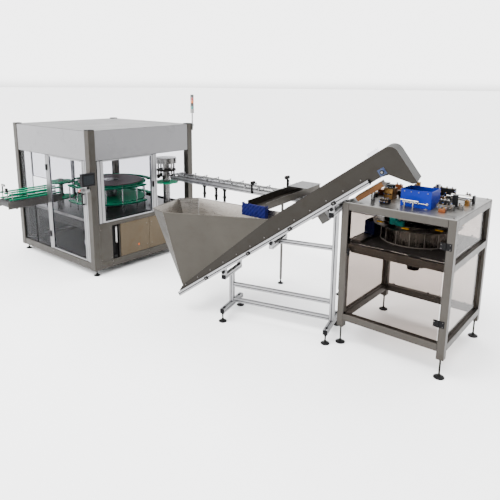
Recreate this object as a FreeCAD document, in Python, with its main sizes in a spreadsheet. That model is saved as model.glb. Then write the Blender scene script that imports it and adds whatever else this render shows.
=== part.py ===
import FreeCAD, Part, Sketcher
import math
import os
import re
from FreeCAD import Placement, Rotation, Vector

# Capping machine: a guarded capping cell with a bottle carousel, a cap conveyor, a hopper
# elevator on its own stand, a return chute and a cap sorter. Millimetres, Z up, floor at Z = 0.
# The row frame sits on the floor under the middle of the whole line. Three local frames are
# used: the cell's (origin at its near corner), the elevator's (origin under its lower column,
# X along its length) and the sorter's (origin at its low X, low Y corner).

SIZES = {
    # guarded cell
    "cell_wide": 2010, "cell_deep": 1885, "cell_top": 2014, "cell_bottom": 88, "post_side": 100,
    "post_round": 8, "sill_high": 104, "sill_inset": 6, "beam_side": 60, "cap_high": 8,
    "fascia_bottom": 1610, "fascia_thick": 20, "skin_inset": 8, "roof_thick": 6, "roof_drop": 12,
    "roof_seam": 4, "mullion_wide": 48, "mullion_deep": 40, "pane_thick": 6, "joint_gap": 2,
    "foot_radius": 45, "foot_high": 22, "foot_inset": 68, "spindle_radius": 9,
    # cell openings and doors
    "front_middle": 1092, "front_jamb": 160, "side_middle": 1096, "ledge_bottom": 680,
    "ledge_high": 55, "infeed_gap_wide": 400, "infeed_gap_bottom": 850, "infeed_gap_top": 1240,
    "door_thick": 30, "stile_wide": 48, "wide_stile": 96, "door_rail": 18, "hinge_gap": 3,
    "panel_thick": 20, "recess_low": 300, "recess_high": 445, "cabinet_split": 970,
    "grip_radius": 13, "grip_low": 419, "grip_high": 649,
    # table, carousel and stars
    "table_top": 740, "table_thick": 40, "table_inset": 140, "table_beam_high": 140,
    "table_beam_wide": 50, "leg_side": 80, "pan_level": 156, "pan_thick": 6,
    "turret_x": -1000, "turret_y": 1025, "star_radius": 555, "disc_radius": 500,
    "disc_level": 1102, "disc_thick": 14, "star_level": 1075, "star_thick": 20,
    "low_star_level": 832, "pocket_radius": 42, "pocket_count": 24, "hub_radius": 90,
    "guide_inner": 600, "guide_outer": 675, "guide_thick": 22, "standoff_radius": 9,
    "standoff_inset": 20, "infeed_star_x": -1560, "infeed_star_y": 480,
    "infeed_star_radius": 200, "capper_x": -310, "capper_y": 1600, "capper_radius": 185,
    "capper_top": 1480, "spindle_circle": 125, "chuck_radius": 24, "chuck_level": 1150,
    "running_gap": 0.05,
    # infeed conveyor
    "infeed_reach": 580, "infeed_near": -1150, "infeed_wide": 320, "infeed_level": 985,
    "infeed_inner": 250, "side_plate_high": 105, "side_plate_thick": 5, "chain_thick": 8,
    "drum_radius": 36, "belt_clear": 12, "strip_wide": 45, "strip_thick": 16,
    # panel, tower
    "screen_wide": 195, "screen_high": 171, "screen_deep": 55, "screen_bottom": 1299,
    "screen_gap": 8, "screen_overlap": 30, "tower_bottom": 1911, "tower_tube_top": 2175,
    "tower_top": 2459, "lamp_radius": 30, "lamp_count": 5,
    # cap conveyor
    "track_from": 1495, "track_gap": 10, "track_wide": 280, "track_beam": 40, "track_beam_high": 55,
    "track_level": 1215, "track_start": -90, "sorter_gap": 20, "track_belt_wide": 180,
    "belt_thick": 3, "track_drum": 20, "rung_pitch": 240, "rung_level": 1248,
    "first_hanger": 622, "middle_hanger": 856, "last_hanger": 1018,
    "hanger_radius": 19, "hanger_drop": 190,
    "sensor_x": 1520, "far_sensor_x": 1900, "leg_radius": 16, "leg_x": 2028, "leg_pitch": 785,
    # elevator in its own frame
    "elevator_x": 2128, "elevator_y": 402, "elevator_turn": 15.4, "slope": 35.6,
    "tail_x": -566, "tail_z": 193, "rail_length": 2590, "rail_side": 50, "rail_wide": 45,
    "half_width": 177, "sheet": 3, "wall_high": 225, "wall_low": 8, "axis_high": 45,
    "elevator_drum": 24, "tail_axis": 60, "head_axis": 2735, "belt_half": 145,
    "cleat_high": 16, "cleat_thick": 6, "cleat_count": 10, "shaft_radius": 12,
    "drip_start": 2385, "drip_long": 290, "drip_wide": 150, "drip_deep": 82, "front_u": 2954,
    "nose_radius": 90, "spout_drop": 200, "hood_start": 2250,
    "bend_u": 1475, "hopper_foot_u": 80, "hopper_foot_w": 92, "rim_end_x": -865,
    "rim_corner_x": -654, "rim_end_half": 286, "rim_corner_half": 407,
    "column_gap": 1180, "profile": 50, "tee_half": 260, "tee_bottom": 103,
    "low_rail": 161, "high_rail": 347, "rail_profile": 45, "column_low": 494,
    "column_high": 1336, "tie_level": 935, "tie_x": 530, "pad_radius": 46, "pad_high": 24,
    "pad_inset": 20, "wedge_wide": 40,
    # return chute
    "chute_x": 2173, "chute_y": 620, "chute_z": 1238, "chute_wide": 256, "chute_long": 1150,
    "chute_wall": 84, "chute_rise": 3, "skirt_deep": 60, "skirt_drop": 82, "skirt_gap": 7,
    "skirt_over": 46, "lid_long": 330,
    # sorter in its own frame
    "sorter_x": 3395, "sorter_y": 584, "sorter_wide": 1085, "sorter_deep": 1112,
    "sorter_top": 1493, "tube": 70, "tube_round": 6, "sorter_rail": 265, "post_bottom": 190,
    "shelf_bottom": 1010, "shelf_top": 1080, "shelf_thick": 10, "top_thick": 8,
    "bowl_x": 542, "bowl_y": 556, "bowl_radius": 320, "bowl_bottom": 1110, "bowl_rim": 1270,
    "flange_radius": 425, "bowl_sheet": 4, "disc_gap": 20, "bowl_disc_level": 1190,
    "cage_radius": 345, "cage_count": 16, "box_x": 492, "box_y": 216, "box_wide": 290,
    "box_deep": 230, "box_high": 165, "box_sheet": 4, "crate_x": 76, "crate_y": 360,
    "crate_wide": 108, "crate_deep": 520, "crate_high": 165, "sorter_pad": 50,
    "ramp_long": 260, "hinge_low": 500,
    "hinge_high": 1220, "hinge_tall": 64,
}

doc = FreeCAD.newDocument("CappingMachine")
sheet = doc.addObject("Spreadsheet::Sheet", "Sizes")
# The cap conveyor keeps clear of the far post, and the bowl's disc clear of the bowl.
LINKED = {
    "track_low": "=min(track_from; cell_deep - post_side - track_gap - track_wide)",
    "bowl_disc": "=bowl_radius - disc_gap",
}
for row, (word, number) in enumerate({**SIZES, **LINKED}.items(), start=1):
    sheet.set(f"A{row}", word)
    sheet.set(f"B{row}", str(number))
    sheet.setAlias(f"B{row}", word)
doc.recompute()

ROW_X = "(sorter_x + sorter_wide - cell_wide) / 2"
ROW_Y = "(cell_deep - infeed_reach) / 2"
# Each local frame: where its origin lies in the row frame, and its turn about Z.
FRAMES = {
    "cell": (f"-({ROW_X})", f"-({ROW_Y})", "0"),
    "elevator": (f"elevator_x - {ROW_X}", f"elevator_y - {ROW_Y}", "elevator_turn"),
    "sorter": (f"sorter_x - {ROW_X}", f"sorter_y - {ROW_Y}", "0"),
}
ALONG = {"x": Rotation(Vector(0, 1, 0), 90), "y": Rotation(Vector(1, 0, 0), -90),
         "z": Rotation()}
nodes = []


def bind(thing, name, words):
    """Bind a property to an expression written with the sheet's plain words."""
    text = re.sub(r"\b([a-z][a-z_]+)\b(?!\()", r"Sizes.\1", str(words))
    thing.setExpression(name, text)


def put(thing, x, y, z, rotation=None):
    thing.Placement = Placement(Vector(), rotation or Rotation())
    for name, words in (("x", x), ("y", y), ("z", z)):
        bind(thing, f"Placement.Base.{name}", words)
    return thing


def box(x, y, z, long, deep, high):
    """A rectangular bar from its low corner."""
    bar = doc.addObject("Part::Box", "Bar")
    for name, words in (("Length", long), ("Width", deep), ("Height", high)):
        bind(bar, name, words)
    return put(bar, x, y, z)


def rod(x, y, z, radius, length, axis="z"):
    """A round bar from the middle of its low end, along one axis."""
    bar = doc.addObject("Part::Cylinder", "Rod")
    bind(bar, "Radius", radius)
    bind(bar, "Height", length)
    return put(bar, x, y, z, ALONG[axis])


def cone(x, y, z, low, high, tall):
    """A turned taper standing on its low end."""
    taper = doc.addObject("Part::Cone", "Taper")
    for name, words in (("Radius1", low), ("Radius2", high), ("Height", tall)):
        bind(taper, name, words)
    return put(taper, x, y, z)


def fuse(*pieces):
    joined = doc.addObject("Part::MultiFuse", "Joined")
    joined.Shapes = list(pieces)
    return joined


def cut(base, *tools):
    taken = doc.addObject("Part::Cut", "Cut")
    taken.Base = base
    taken.Tool = tools[0] if len(tools) == 1 else fuse(*tools)
    return taken


def soften(bar, word, edges=(1, 3, 5, 7)):
    """Round a bar's upright edges, as drawn tube has them."""
    doc.recompute()
    rounded = doc.addObject("Part::Fillet", "Rounded")
    rounded.Base = bar
    rounded.Edges = [(edge, SIZES[word], SIZES[word]) for edge in edges]
    return rounded


def group(name, pieces):
    holder = doc.addObject("Part::Compound", name)
    holder.Links = list(pieces)
    return holder


def node(name, frame, pieces):
    """Gather one sub-part's solids, and stand it in its local frame."""
    holder = group(name, pieces)
    holder.Label = name
    x, y, turn = FRAMES[frame]
    put(holder, x, y, "0", Rotation(Vector(0, 0, 1), 1))
    bind(holder, "Placement.Rotation.Angle", turn)
    nodes.append(holder)
    return holder


def sloped(pieces):
    """Pieces built along the elevator's slope: X up the slope, Z square to it."""
    holder = group("Sloped", pieces)
    put(holder, "tail_x", "0", "tail_z", Rotation(Vector(0, -1, 0), 1))
    bind(holder, "Placement.Rotation.Angle", "slope")
    return holder


def plain(name, shape):
    """A solid whose outline comes from a formula."""
    thing = doc.addObject("Part::Feature", name)
    thing.Shape = shape
    return thing


def plate(corners, thick):
    """A flat sheet through its corners, thickened along its own normal."""
    first, second, third = corners[:3]
    normal = (second - first).cross(third - first)
    normal.normalize()
    face = Part.Face(Part.makePolygon(corners + [first]))
    return face.extrude(normal * thick)


def loop(start, end, centre, radius, thick, half):
    """A belt round two drums, in the X-Z plane, closed on itself."""
    def stadium(size, reach):
        return fuse(box(start, f"-{reach}", f"{centre} - ({size})", f"{end} - ({start})",
                        f"2 * {reach}", f"2 * ({size})"),
                    rod(start, f"-{reach}", centre, size, f"2 * {reach}", "y"),
                    rod(end, f"-{reach}", centre, size, f"2 * {reach}", "y"))
    return cut(stadium(f"{radius} + {thick}", half), stadium(radius, f"({half} + 1)"))


def pad_foot(x, y, top, radius="foot_radius", high="foot_high"):
    """A levelling foot: a turned pad with a coned shoulder, and its threaded spindle."""
    return [fuse(rod(x, y, "0", radius, f"{high} / 2"),
                 cone(x, y, f"{high} / 2", radius, "spindle_radius + 8", f"{high} / 2")),
            rod(x, y, high, "spindle_radius", f"{top} - {high}")]


def arc_plate(inner, outer, level, thick, start, end):
    """A flat ring sector about the carousel's axis."""
    centre = Vector(SIZES["turret_x"], SIZES["turret_y"], level)
    low, mid, high = (math.radians(turn) for turn in (start, (start + end) / 2, end))

    def spot(radius, turn):
        return centre + Vector(radius * math.cos(turn), radius * math.sin(turn), 0)
    edges = [Part.Arc(spot(outer, low), spot(outer, mid), spot(outer, high)).toShape(),
             Part.LineSegment(spot(outer, high), spot(inner, high)).toShape(),
             Part.Arc(spot(inner, high), spot(inner, mid), spot(inner, low)).toShape(),
             Part.LineSegment(spot(inner, low), spot(outer, low)).toShape()]
    return Part.Face(Part.Wire(edges)).extrude(Vector(0, 0, thick))


def role_plane(body, role):
    return next(f for f in body.Origin.OriginFeatures if getattr(f, "Role", "") == role)


def circle_sketch(body, radius, centre_x="0"):
    """A sketch of one circle on the body's X-Y plane, bound to the sheet."""
    sketch = body.newObject("Sketcher::SketchObject", "Round")
    sketch.AttachmentSupport = [(role_plane(body, "XY_Plane"), "")]
    sketch.MapMode = "FlatFace"
    sketch.addGeometry(Part.Circle(Vector(1, 0, 0), Vector(0, 0, 1), 5))
    spots = [sketch.addConstraint(Sketcher.Constraint("Radius", 0, 5)),
             sketch.addConstraint(Sketcher.Constraint("DistanceX", -1, 1, 0, 3, 1)),
             sketch.addConstraint(Sketcher.Constraint("DistanceY", -1, 1, 0, 3, 0))]
    bind(sketch, f"Constraints[{spots[0]}]", radius)
    bind(sketch, f"Constraints[{spots[1]}]", centre_x)
    return sketch


def star_wheel(name, radius, thick, pocket, count, bore):
    """A star wheel: a turned plate with scalloped pockets and a bore for its hub."""
    body = doc.addObject("PartDesign::Body", name)
    pad = body.newObject("PartDesign::Pad", "Blank")
    pad.Profile = circle_sketch(body, radius)
    bind(pad, "Length", thick)
    doc.recompute()
    hole = body.newObject("PartDesign::Pocket", "Bore")
    hole.Profile = circle_sketch(body, bore)
    hole.Type = "ThroughAll"
    hole.Reversed = True
    doc.recompute()
    scallop = body.newObject("PartDesign::Pocket", "Scallop")
    scallop.Profile = circle_sketch(body, pocket, f"{radius} + {pocket} / 2")
    scallop.Type = "ThroughAll"
    scallop.Reversed = True
    doc.recompute()
    turns = body.newObject("PartDesign::PolarPattern", "Scallops")
    turns.Originals = [scallop]
    turns.Axis = (role_plane(body, "Z_Axis"), [""])
    turns.Angle = 360
    bind(turns, "Occurrences", count)
    body.Tip = turns
    doc.recompute()
    return body


# ---------------------------------------------------------------- guarded cell

def cell_frame():
    high = "cell_top - cell_bottom"
    far_x, far_y = "-cell_wide", "cell_deep - post_side"
    pieces = []
    for x in (far_x, "-post_side"):
        for y in ("0", far_y):
            pieces.append(soften(box(x, y, "cell_bottom", "post_side", "post_side", high),
                                 "post_round"))
            pieces.append(box(f"{x} + 2", f"{y} + 2", "cell_top", "post_side - 4",
                              "post_side - 4", "cap_high"))
    span_x, span_y = "cell_wide - 2 * post_side", "cell_deep - 2 * post_side"
    depth = "post_side - 2 * sill_inset"
    top = "cell_top - roof_drop - beam_side"
    for y in ("sill_inset", "cell_deep - post_side + sill_inset"):
        pieces.append(box("post_side - cell_wide", y, "cell_bottom", span_x, depth, "sill_high"))
    for x in ("-post_side + sill_inset", "sill_inset - cell_wide"):
        pieces.append(box(x, "post_side", "cell_bottom", depth, span_y, "sill_high"))
    for y in ("skin_inset + fascia_thick", "cell_deep - skin_inset - fascia_thick - beam_side"):
        pieces.append(box("post_side - cell_wide", y, top, span_x, "beam_side", "beam_side"))
    for x in ("-skin_inset - fascia_thick - beam_side",
              "skin_inset + fascia_thick - cell_wide"):
        pieces.append(box(x, "post_side", top, "beam_side", span_y, "beam_side"))
    node("cell_frame", "cell", pieces)


def cell_fascias():
    high = "cell_top - roof_drop - fascia_bottom"
    pieces = [box("post_side - cell_wide", y, "fascia_bottom", "cell_wide - 2 * post_side",
                  "fascia_thick", high)
              for y in ("skin_inset", "cell_deep - skin_inset - fascia_thick")]
    pieces += [box(x, "post_side", "fascia_bottom", "fascia_thick",
                   "cell_deep - 2 * post_side", high)
               for x in ("-skin_inset - fascia_thick", "skin_inset - cell_wide")]
    node("cell_fascias", "cell", pieces)


def cell_roof():
    """Four folded roof trays between the posts, and two narrow ones beside them."""
    level = "cell_top - roof_drop"
    tray = "(cell_wide - 2 * post_side - 3 * roof_seam) / 4"
    pieces = [box(f"post_side - cell_wide + {i} * ({tray} + roof_seam)", "skin_inset", level,
                  tray, "cell_deep - 2 * skin_inset", "roof_thick") for i in range(4)]
    side = "post_side - skin_inset - roof_seam"
    for x in ("roof_seam - post_side", "skin_inset - cell_wide"):
        pieces.append(box(x, "post_side + joint_gap", level, side,
                          "cell_deep - 2 * post_side - 2 * joint_gap", "roof_thick"))
    node("cell_roof", "cell", pieces)


def cell_mullions():
    """Fixed uprights, the ledge over the cabinet, and the trims of the infeed opening."""
    low = "cell_bottom + sill_high"
    high = f"fascia_bottom - ({low})"
    back = "cell_deep - skin_inset - mullion_deep"
    pieces = [
        box("-front_middle - mullion_wide", "skin_inset", low, "mullion_wide",
            "mullion_deep", high),
        box("-front_jamb", "skin_inset", low, "front_jamb - post_side - joint_gap",
            "mullion_deep", high),
        box("-cell_wide / 2", back, low, "mullion_wide", "mullion_deep", high),
        box("skin_inset - cell_wide", "cell_deep / 2", low, "mullion_deep", "mullion_wide",
            high),
        box("-skin_inset - mullion_deep", "side_middle", "ledge_bottom + ledge_high",
            "mullion_deep", "mullion_wide + joint_gap",
            "fascia_bottom - ledge_bottom - ledge_high"),
        box("-skin_inset - mullion_deep", "post_side", "ledge_bottom", "mullion_deep",
            "cell_deep - 2 * post_side", "ledge_high"),
        box("-front_middle - mullion_wide - infeed_gap_wide - 14", "skin_inset",
            "infeed_gap_bottom", "14", "12", "fascia_bottom - infeed_gap_bottom"),
    ]
    node("cell_mullions", "cell", pieces)


def cell_panes():
    """Clear fixed guards: round the infeed opening, and on the two far sides."""
    low = "cell_bottom + sill_high"
    high = f"fascia_bottom - ({low})"
    face = "skin_inset + 12"
    gap_left = "-front_middle - mullion_wide - infeed_gap_wide"
    solid_left = "post_side - cell_wide"
    pieces = [
        box(solid_left, face, low, f"{gap_left} - 14 - ({solid_left})", "pane_thick", high),
        box(gap_left, face, low, "infeed_gap_wide", "pane_thick",
            f"infeed_gap_bottom - ({low})"),
        box(gap_left, face, "infeed_gap_top", "infeed_gap_wide", "pane_thick",
            "fascia_bottom - infeed_gap_top"),
    ]
    back = "cell_deep - skin_inset - 18"
    table = "ledge_bottom + ledge_high"
    tall = f"fascia_bottom - ({table})"
    half = "cell_wide / 2 - post_side"
    pieces.append(box(solid_left, back, table, half, "pane_thick", tall))
    pieces.append(box("mullion_wide - cell_wide / 2", back, table,
                      f"{half} - mullion_wide", "pane_thick", tall))
    side = "skin_inset - cell_wide + 12"
    half = "cell_deep / 2 - post_side"
    pieces.append(box(side, "post_side", table, "pane_thick", half, tall))
    pieces.append(box(side, "cell_deep / 2 + mullion_wide", table, "pane_thick",
                      f"{half} - mullion_wide", tall))
    node("cell_panes", "cell", pieces)


def cell_cabinet():
    """Sheet-steel lower panels, the handle recess with its bar, and the drip pan."""
    low = "cell_bottom + sill_high"
    high = f"ledge_bottom - ({low})"
    face = "-skin_inset - panel_thick"
    pieces = [
        box(face, "post_side", low, "panel_thick", "recess_low - post_side", high),
        box("-post_side + 2 * sill_inset", "recess_low", low, "pane_thick",
            "recess_high - recess_low", high),
        box(face, "recess_low + joint_gap", low, "12", "14", high),
        box(face, "recess_high - 16", low, "12", "12", high),
        rod("-skin_inset - 16", "(recess_low + recess_high) / 2 + 12", "grip_low",
            "grip_radius", "grip_high - grip_low"),
        box("-skin_inset - 60", "recess_low + 40", low, "40", "60", "40"),
    ]
    back = "cell_deep - skin_inset - 18"
    table = f"ledge_bottom + ledge_high - ({low})"
    pieces.append(box("post_side - cell_wide", back, low, "cell_wide / 2 - post_side",
                      "pane_thick", table))
    pieces.append(box("mullion_wide - cell_wide / 2", back, low,
                      "cell_wide / 2 - post_side - mullion_wide", "pane_thick", table))
    side = "skin_inset - cell_wide + 12"
    pieces.append(box(side, "post_side", low, "pane_thick", "cell_deep / 2 - post_side", table))
    pieces.append(box(side, "cell_deep / 2 + mullion_wide", low, "pane_thick",
                      "cell_deep / 2 - post_side - mullion_wide", table))
    pieces.append(box("post_side - cell_wide", "post_side", "pan_level - pan_thick",
                      "cell_wide - 2 * post_side", "cell_deep - 2 * post_side", "pan_thick"))
    node("cell_cabinet", "cell", pieces)


def cell_table():
    """Machine bed: a thick plate on two long beams and four legs from the pan."""
    left, long = "table_inset - cell_wide", "cell_wide - 2 * table_inset"
    deep = "cell_deep - 2 * table_inset"
    under = "table_top - table_thick - table_beam_high"
    far = "cell_deep - table_inset - table_beam_wide - 20"
    pieces = [box(left, "table_inset", "table_top - table_thick", long, deep, "table_thick")]
    for y in ("table_inset + 20", far):
        pieces.append(box(f"{left} + 20", y, under, f"{long} - 40", "table_beam_wide",
                          "table_beam_high"))
        for x in (f"{left} + 60", f"{left} + {long} - 60 - leg_side"):
            shift = 0 if y == far else 15
            pieces.append(box(x, f"{y} - {15 - shift}", "pan_level", "leg_side",
                              "table_beam_wide + 15", f"{under} - pan_level"))
    node("cell_table", "cell", pieces)


def cell_feet():
    pieces = []
    for x in ("-foot_inset", "foot_inset - cell_wide"):
        for y in ("foot_inset", "cell_deep - foot_inset"):
            pieces += pad_foot(x, y, "cell_bottom")
    node("cell_feet", "cell", pieces)


# ---------------------------------------------------------------- carousel and stars

def turret():
    """The bottle carousel: two scalloped stars and a plain cover disc on a turned hub."""
    centre = ("turret_x", "turret_y")
    wheel = [star_wheel(f"Carousel{i}", "star_radius", "star_thick", "pocket_radius",
                        "pocket_count", "hub_radius") for i in range(2)]
    put(wheel[0], *centre, "star_level")
    put(wheel[1], *centre, "low_star_level")
    disc = rod(*centre, "disc_level", "disc_radius", "disc_thick")
    hub = rod(*centre, "table_top + joint_gap", "hub_radius",
              "disc_level - table_top - joint_gap")
    node("turret", "cell", wheel + [disc, hub])


def guide_rings():
    """Fixed guide rings round the carousel, open where bottles come in and go out."""
    sectors = ((-108, 18), (62, 203))
    shapes = [arc_plate(SIZES["guide_inner"], SIZES["guide_outer"], level,
                        SIZES["guide_thick"], start, end)
              for level in (SIZES["star_level"], SIZES["low_star_level"])
              for start, end in sectors]
    node("guide_rings", "cell", [plain("Ring", shape) for shape in shapes])


def guide_standoffs():
    pieces = []
    reach = "(guide_outer - standoff_inset)"
    for turn in (-105, -84, -63, -42, -21, 0, 15, 66, 90, 115, 140, 165, 190):
        x = f"turret_x + {reach} * cos({turn})"
        y = f"turret_y + {reach} * sin({turn})"
        pieces.append(rod(x, y, "table_top", "standoff_radius", "low_star_level - table_top"))
        pieces.append(rod(x, y, "low_star_level + guide_thick", "standoff_radius",
                          "star_level - low_star_level - guide_thick"))
    node("guide_standoffs", "cell", pieces)


def infeed_star():
    spot = ("infeed_star_x", "infeed_star_y")
    wheels = [star_wheel(f"Infeed{i}", "infeed_star_radius", "star_thick", "pocket_radius",
                         "8", "35") for i in range(2)]
    put(wheels[0], *spot, "star_level")
    put(wheels[1], *spot, "low_star_level")
    hub = rod(*spot, "table_top + joint_gap", "35", "star_level - table_top + 60")
    node("infeed_star", "cell", wheels + [hub])


def capping_turret():
    """The capping head: a star, six spindles with chucks, and the cam drum above them."""
    spot = ("capper_x", "capper_y")
    wheel = star_wheel("Capper", "capper_radius", "star_thick", "pocket_radius", "6", "55")
    put(wheel, *spot, "star_level")
    column = rod(*spot, "table_top + joint_gap", "55", "capper_top - table_top - joint_gap")
    pieces = [wheel, column]
    ring = cut(rod(*spot, "capper_top - 90", "spindle_circle + 40", "90"),
               rod(*spot, "capper_top - 91", "55", "92"))
    pieces.append(ring)
    carrier = cut(rod(*spot, "capper_top - 210", "spindle_circle + 30", "24"),
                  rod(*spot, "capper_top - 211", "55", "26"),
                  *[rod(f"capper_x + spindle_circle * cos({turn})",
                        f"capper_y + spindle_circle * sin({turn})", "capper_top - 211",
                        "14", "26") for turn in range(0, 360, 60)])
    pieces.append(carrier)
    for turn in range(0, 360, 60):
        x = f"capper_x + spindle_circle * cos({turn})"
        y = f"capper_y + spindle_circle * sin({turn})"
        pieces.append(rod(x, y, "chuck_level + 60", "14", "capper_top - 90 - chuck_level - 60"))
        pieces.append(rod(x, y, "chuck_level", "chuck_radius", "60"))
    node("capping_turret", "cell", pieces)


# ---------------------------------------------------------------- infeed conveyor

def infeed_conveyor():
    far = "infeed_near - infeed_wide"
    long = "infeed_reach + infeed_inner"
    low = "infeed_level - side_plate_high"
    plates = [box(x, "-infeed_reach", low, "side_plate_thick", long, "side_plate_high")
              for x in ("infeed_near - side_plate_thick", far)]
    cross = [box(far, y, f"{low} - 12", "infeed_wide", "20", "12")
             for y in ("-infeed_reach + 120", "0", "infeed_inner - 130")]
    struts = [box(x, "table_inset + 30", "table_top", "14", "60", f"{low} - table_top")
              for x in ("infeed_near - 14", far)]
    node("infeed_frame", "cell", plates + cross + struts)
    centre = "(infeed_level - chain_thick - drum_radius - 6)"
    belt = loop("drum_radius + belt_clear + 8", f"{long} - drum_radius - belt_clear - 8",
                centre, "drum_radius", "chain_thick", "(infeed_wide / 2 - belt_clear)")
    put(belt, "infeed_near - infeed_wide / 2", "-infeed_reach", "0",
        Rotation(Vector(0, 0, 1), 90))
    node("infeed_belt", "cell", [belt])
    middle = "infeed_near - infeed_wide / 2"
    start = "-infeed_reach + drum_radius + belt_clear + 8"
    drum = rod(f"{far} + belt_clear", start, centre, "drum_radius - 0.5",
               "infeed_wide - 2 * belt_clear", "x")
    node("infeed_drum", "cell", [drum])
    strips = []
    for x in (far, f"{middle} - strip_wide / 2", "infeed_near - strip_wide"):
        for z in ("infeed_level + 12", "star_level"):
            strips.append(box(x, "-infeed_reach + 40", z, "strip_wide",
                              "infeed_reach + infeed_inner - 60", "strip_thick"))
    legs = []
    for x in (f"{far} + 8", f"{middle} - 6", "infeed_near - 20"):
        for y in ("-infeed_reach + 70", "-infeed_reach / 2", "table_inset"):
            legs.append(box(x, y, "infeed_level + 12 + strip_thick", "12", "12",
                            "star_level - infeed_level - 12 - strip_thick"))
    for y in ("-infeed_reach + 70", "-infeed_reach / 2", "table_inset"):
        for x in (f"{far} + 8", "infeed_near - 20"):
            legs.append(box(x, y, "infeed_level", "12", "12", "12"))
    bar = [box(far, "-infeed_reach + 60", "star_level + strip_thick", "infeed_wide", "30", "8")]
    node("infeed_guides", "cell", strips + legs + bar)
    post = [box(f"{far} + 20", "-infeed_reach + 66", "star_level + strip_thick + 8", "14", "18",
                "70"),
            rod(f"{far} + 12", "-infeed_reach + 75", "star_level + strip_thick + 90", "11",
                "90", "x"),
            box(f"{far} + 120", "-infeed_reach + 62", "star_level + strip_thick + 8", "46",
                "26", "52")]
    node("infeed_sensor", "cell", post)


def drive_units():
    """The main gearmotor under the bed, and the air service unit beside the near post."""
    base = "table_top - table_thick"
    motor = [box("-1420", "262", f"{base} - 170", "150", "130", "170"),
             rod("-1345", "392", f"{base} - 85", "68", "210", "y"),
             rod("-1345", "602", f"{base} - 85", "74", "26", "y"),
             rod("-1345", "242", f"{base} - 85", "30", "20", "y"),
             rod("-1345", "214", f"{base} - 85", "80", "28", "y")]
    node("main_gearmotor", "cell", motor)
    unit = [box("-330", "120", "380", "190", "16", "120"),
            box("-322", "64", "400", "56", "56", "60"), box("-262", "64", "400", "56", "56", "60"),
            box("-202", "64", "400", "56", "56", "60"),
            rod("-294", "92", "460", "22", "46"), rod("-174", "92", "460", "20", "34"),
            rod("-294", "92", "316", "24", "84"), rod("-234", "92", "330", "24", "70"),
            box("-280", "136", "420", "60", "10", "30")]
    node("air_unit", "cell", unit)


# ---------------------------------------------------------------- doors, panel, tower

def front_door():
    """Clear guard door on the front, hinged on the middle upright."""
    low = "cell_bottom + sill_high + 6"
    high = f"fascia_bottom - 6 - ({low})"
    left = "-front_middle + hinge_gap"
    wide = "front_middle - front_jamb - 2 * hinge_gap"
    right = f"{left} + {wide} - stile_wide"
    stiles = [box(left, "skin_inset", low, "stile_wide", "door_thick", high),
              box(right, "skin_inset", low, "stile_wide", "door_thick", high)]
    inner = f"{wide} - 2 * stile_wide"
    rails = [box(f"{left} + stile_wide", "skin_inset + 4", z, inner, "door_thick - 8",
                 "door_rail") for z in (low, f"{low} + {high} - door_rail")]
    pane = box(f"{left} + stile_wide", "skin_inset + 12", f"{low} + door_rail", inner,
               "pane_thick", f"{high} - 2 * door_rail")
    grip = [box(f"{right} + 14", "skin_inset - 22", "1000", "18", "22", "20"),
            box(f"{right} + 14", "skin_inset - 22", "1140", "18", "22", "20"),
            box(f"{right} + 12", "skin_inset - 34", "990", "22", "12", "180")]
    node("front_door", "cell", stiles + rails + [pane] + grip)


def side_door():
    """Clear guard door on the side, hinged beside the near post."""
    low = "ledge_bottom + ledge_high + 4"
    high = f"fascia_bottom - 6 - ({low})"
    start = "post_side + hinge_gap + 12"
    wide = f"side_middle - hinge_gap - ({start})"
    face = "-skin_inset - door_thick"
    stiles = [box(face, start, low, "door_thick", "wide_stile", high),
              box(face, f"{start} + {wide} - stile_wide", low, "door_thick", "stile_wide", high)]
    inner = f"{wide} - wide_stile - stile_wide"
    rails = [box(f"{face} + 4", f"{start} + wide_stile", z, "door_thick - 8", inner,
                 "door_rail") for z in (low, f"{low} + {high} - door_rail")]
    pane = box("-skin_inset - 18", f"{start} + wide_stile", f"{low} + door_rail", "pane_thick",
               inner, f"{high} - 2 * door_rail")
    knob = [box("-skin_inset", f"{start} + {wide} - 34", "1120", "20", "18", "90")]
    node("side_door", "cell", stiles + rails + [pane] + knob)


def cabinet_doors():
    """Two sheet-steel doors with folded edges, hinged at their outer sides."""
    low = "cell_bottom + sill_high + hinge_gap"
    high = f"ledge_bottom - hinge_gap - ({low})"
    face = "-skin_inset - panel_thick"
    spans = (("cabinet_door_left", "recess_high + hinge_gap",
              "cabinet_split - recess_high - 1.5 * hinge_gap"),
             ("cabinet_door_right", "cabinet_split + hinge_gap / 2",
              "cell_deep - post_side - cabinet_split - 1.5 * hinge_gap"))
    for name, start, wide in spans:
        sheet_face = box(face + " + 14", start, low, "panel_thick - 14", wide, high)
        folds = [box(face, start, low, "14", "10", high),
                 box(face, f"{start} + {wide} - 10", low, "14", "10", high)]
        side = "30" if name.endswith("right") else f"{wide} - 30"
        locks = [rod("-skin_inset", f"{start} + {side}", z, "9", "6", "x")
                 for z in ("250", "558")]
        node(name, "cell", [fuse(sheet_face, *folds)] + locks)


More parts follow.
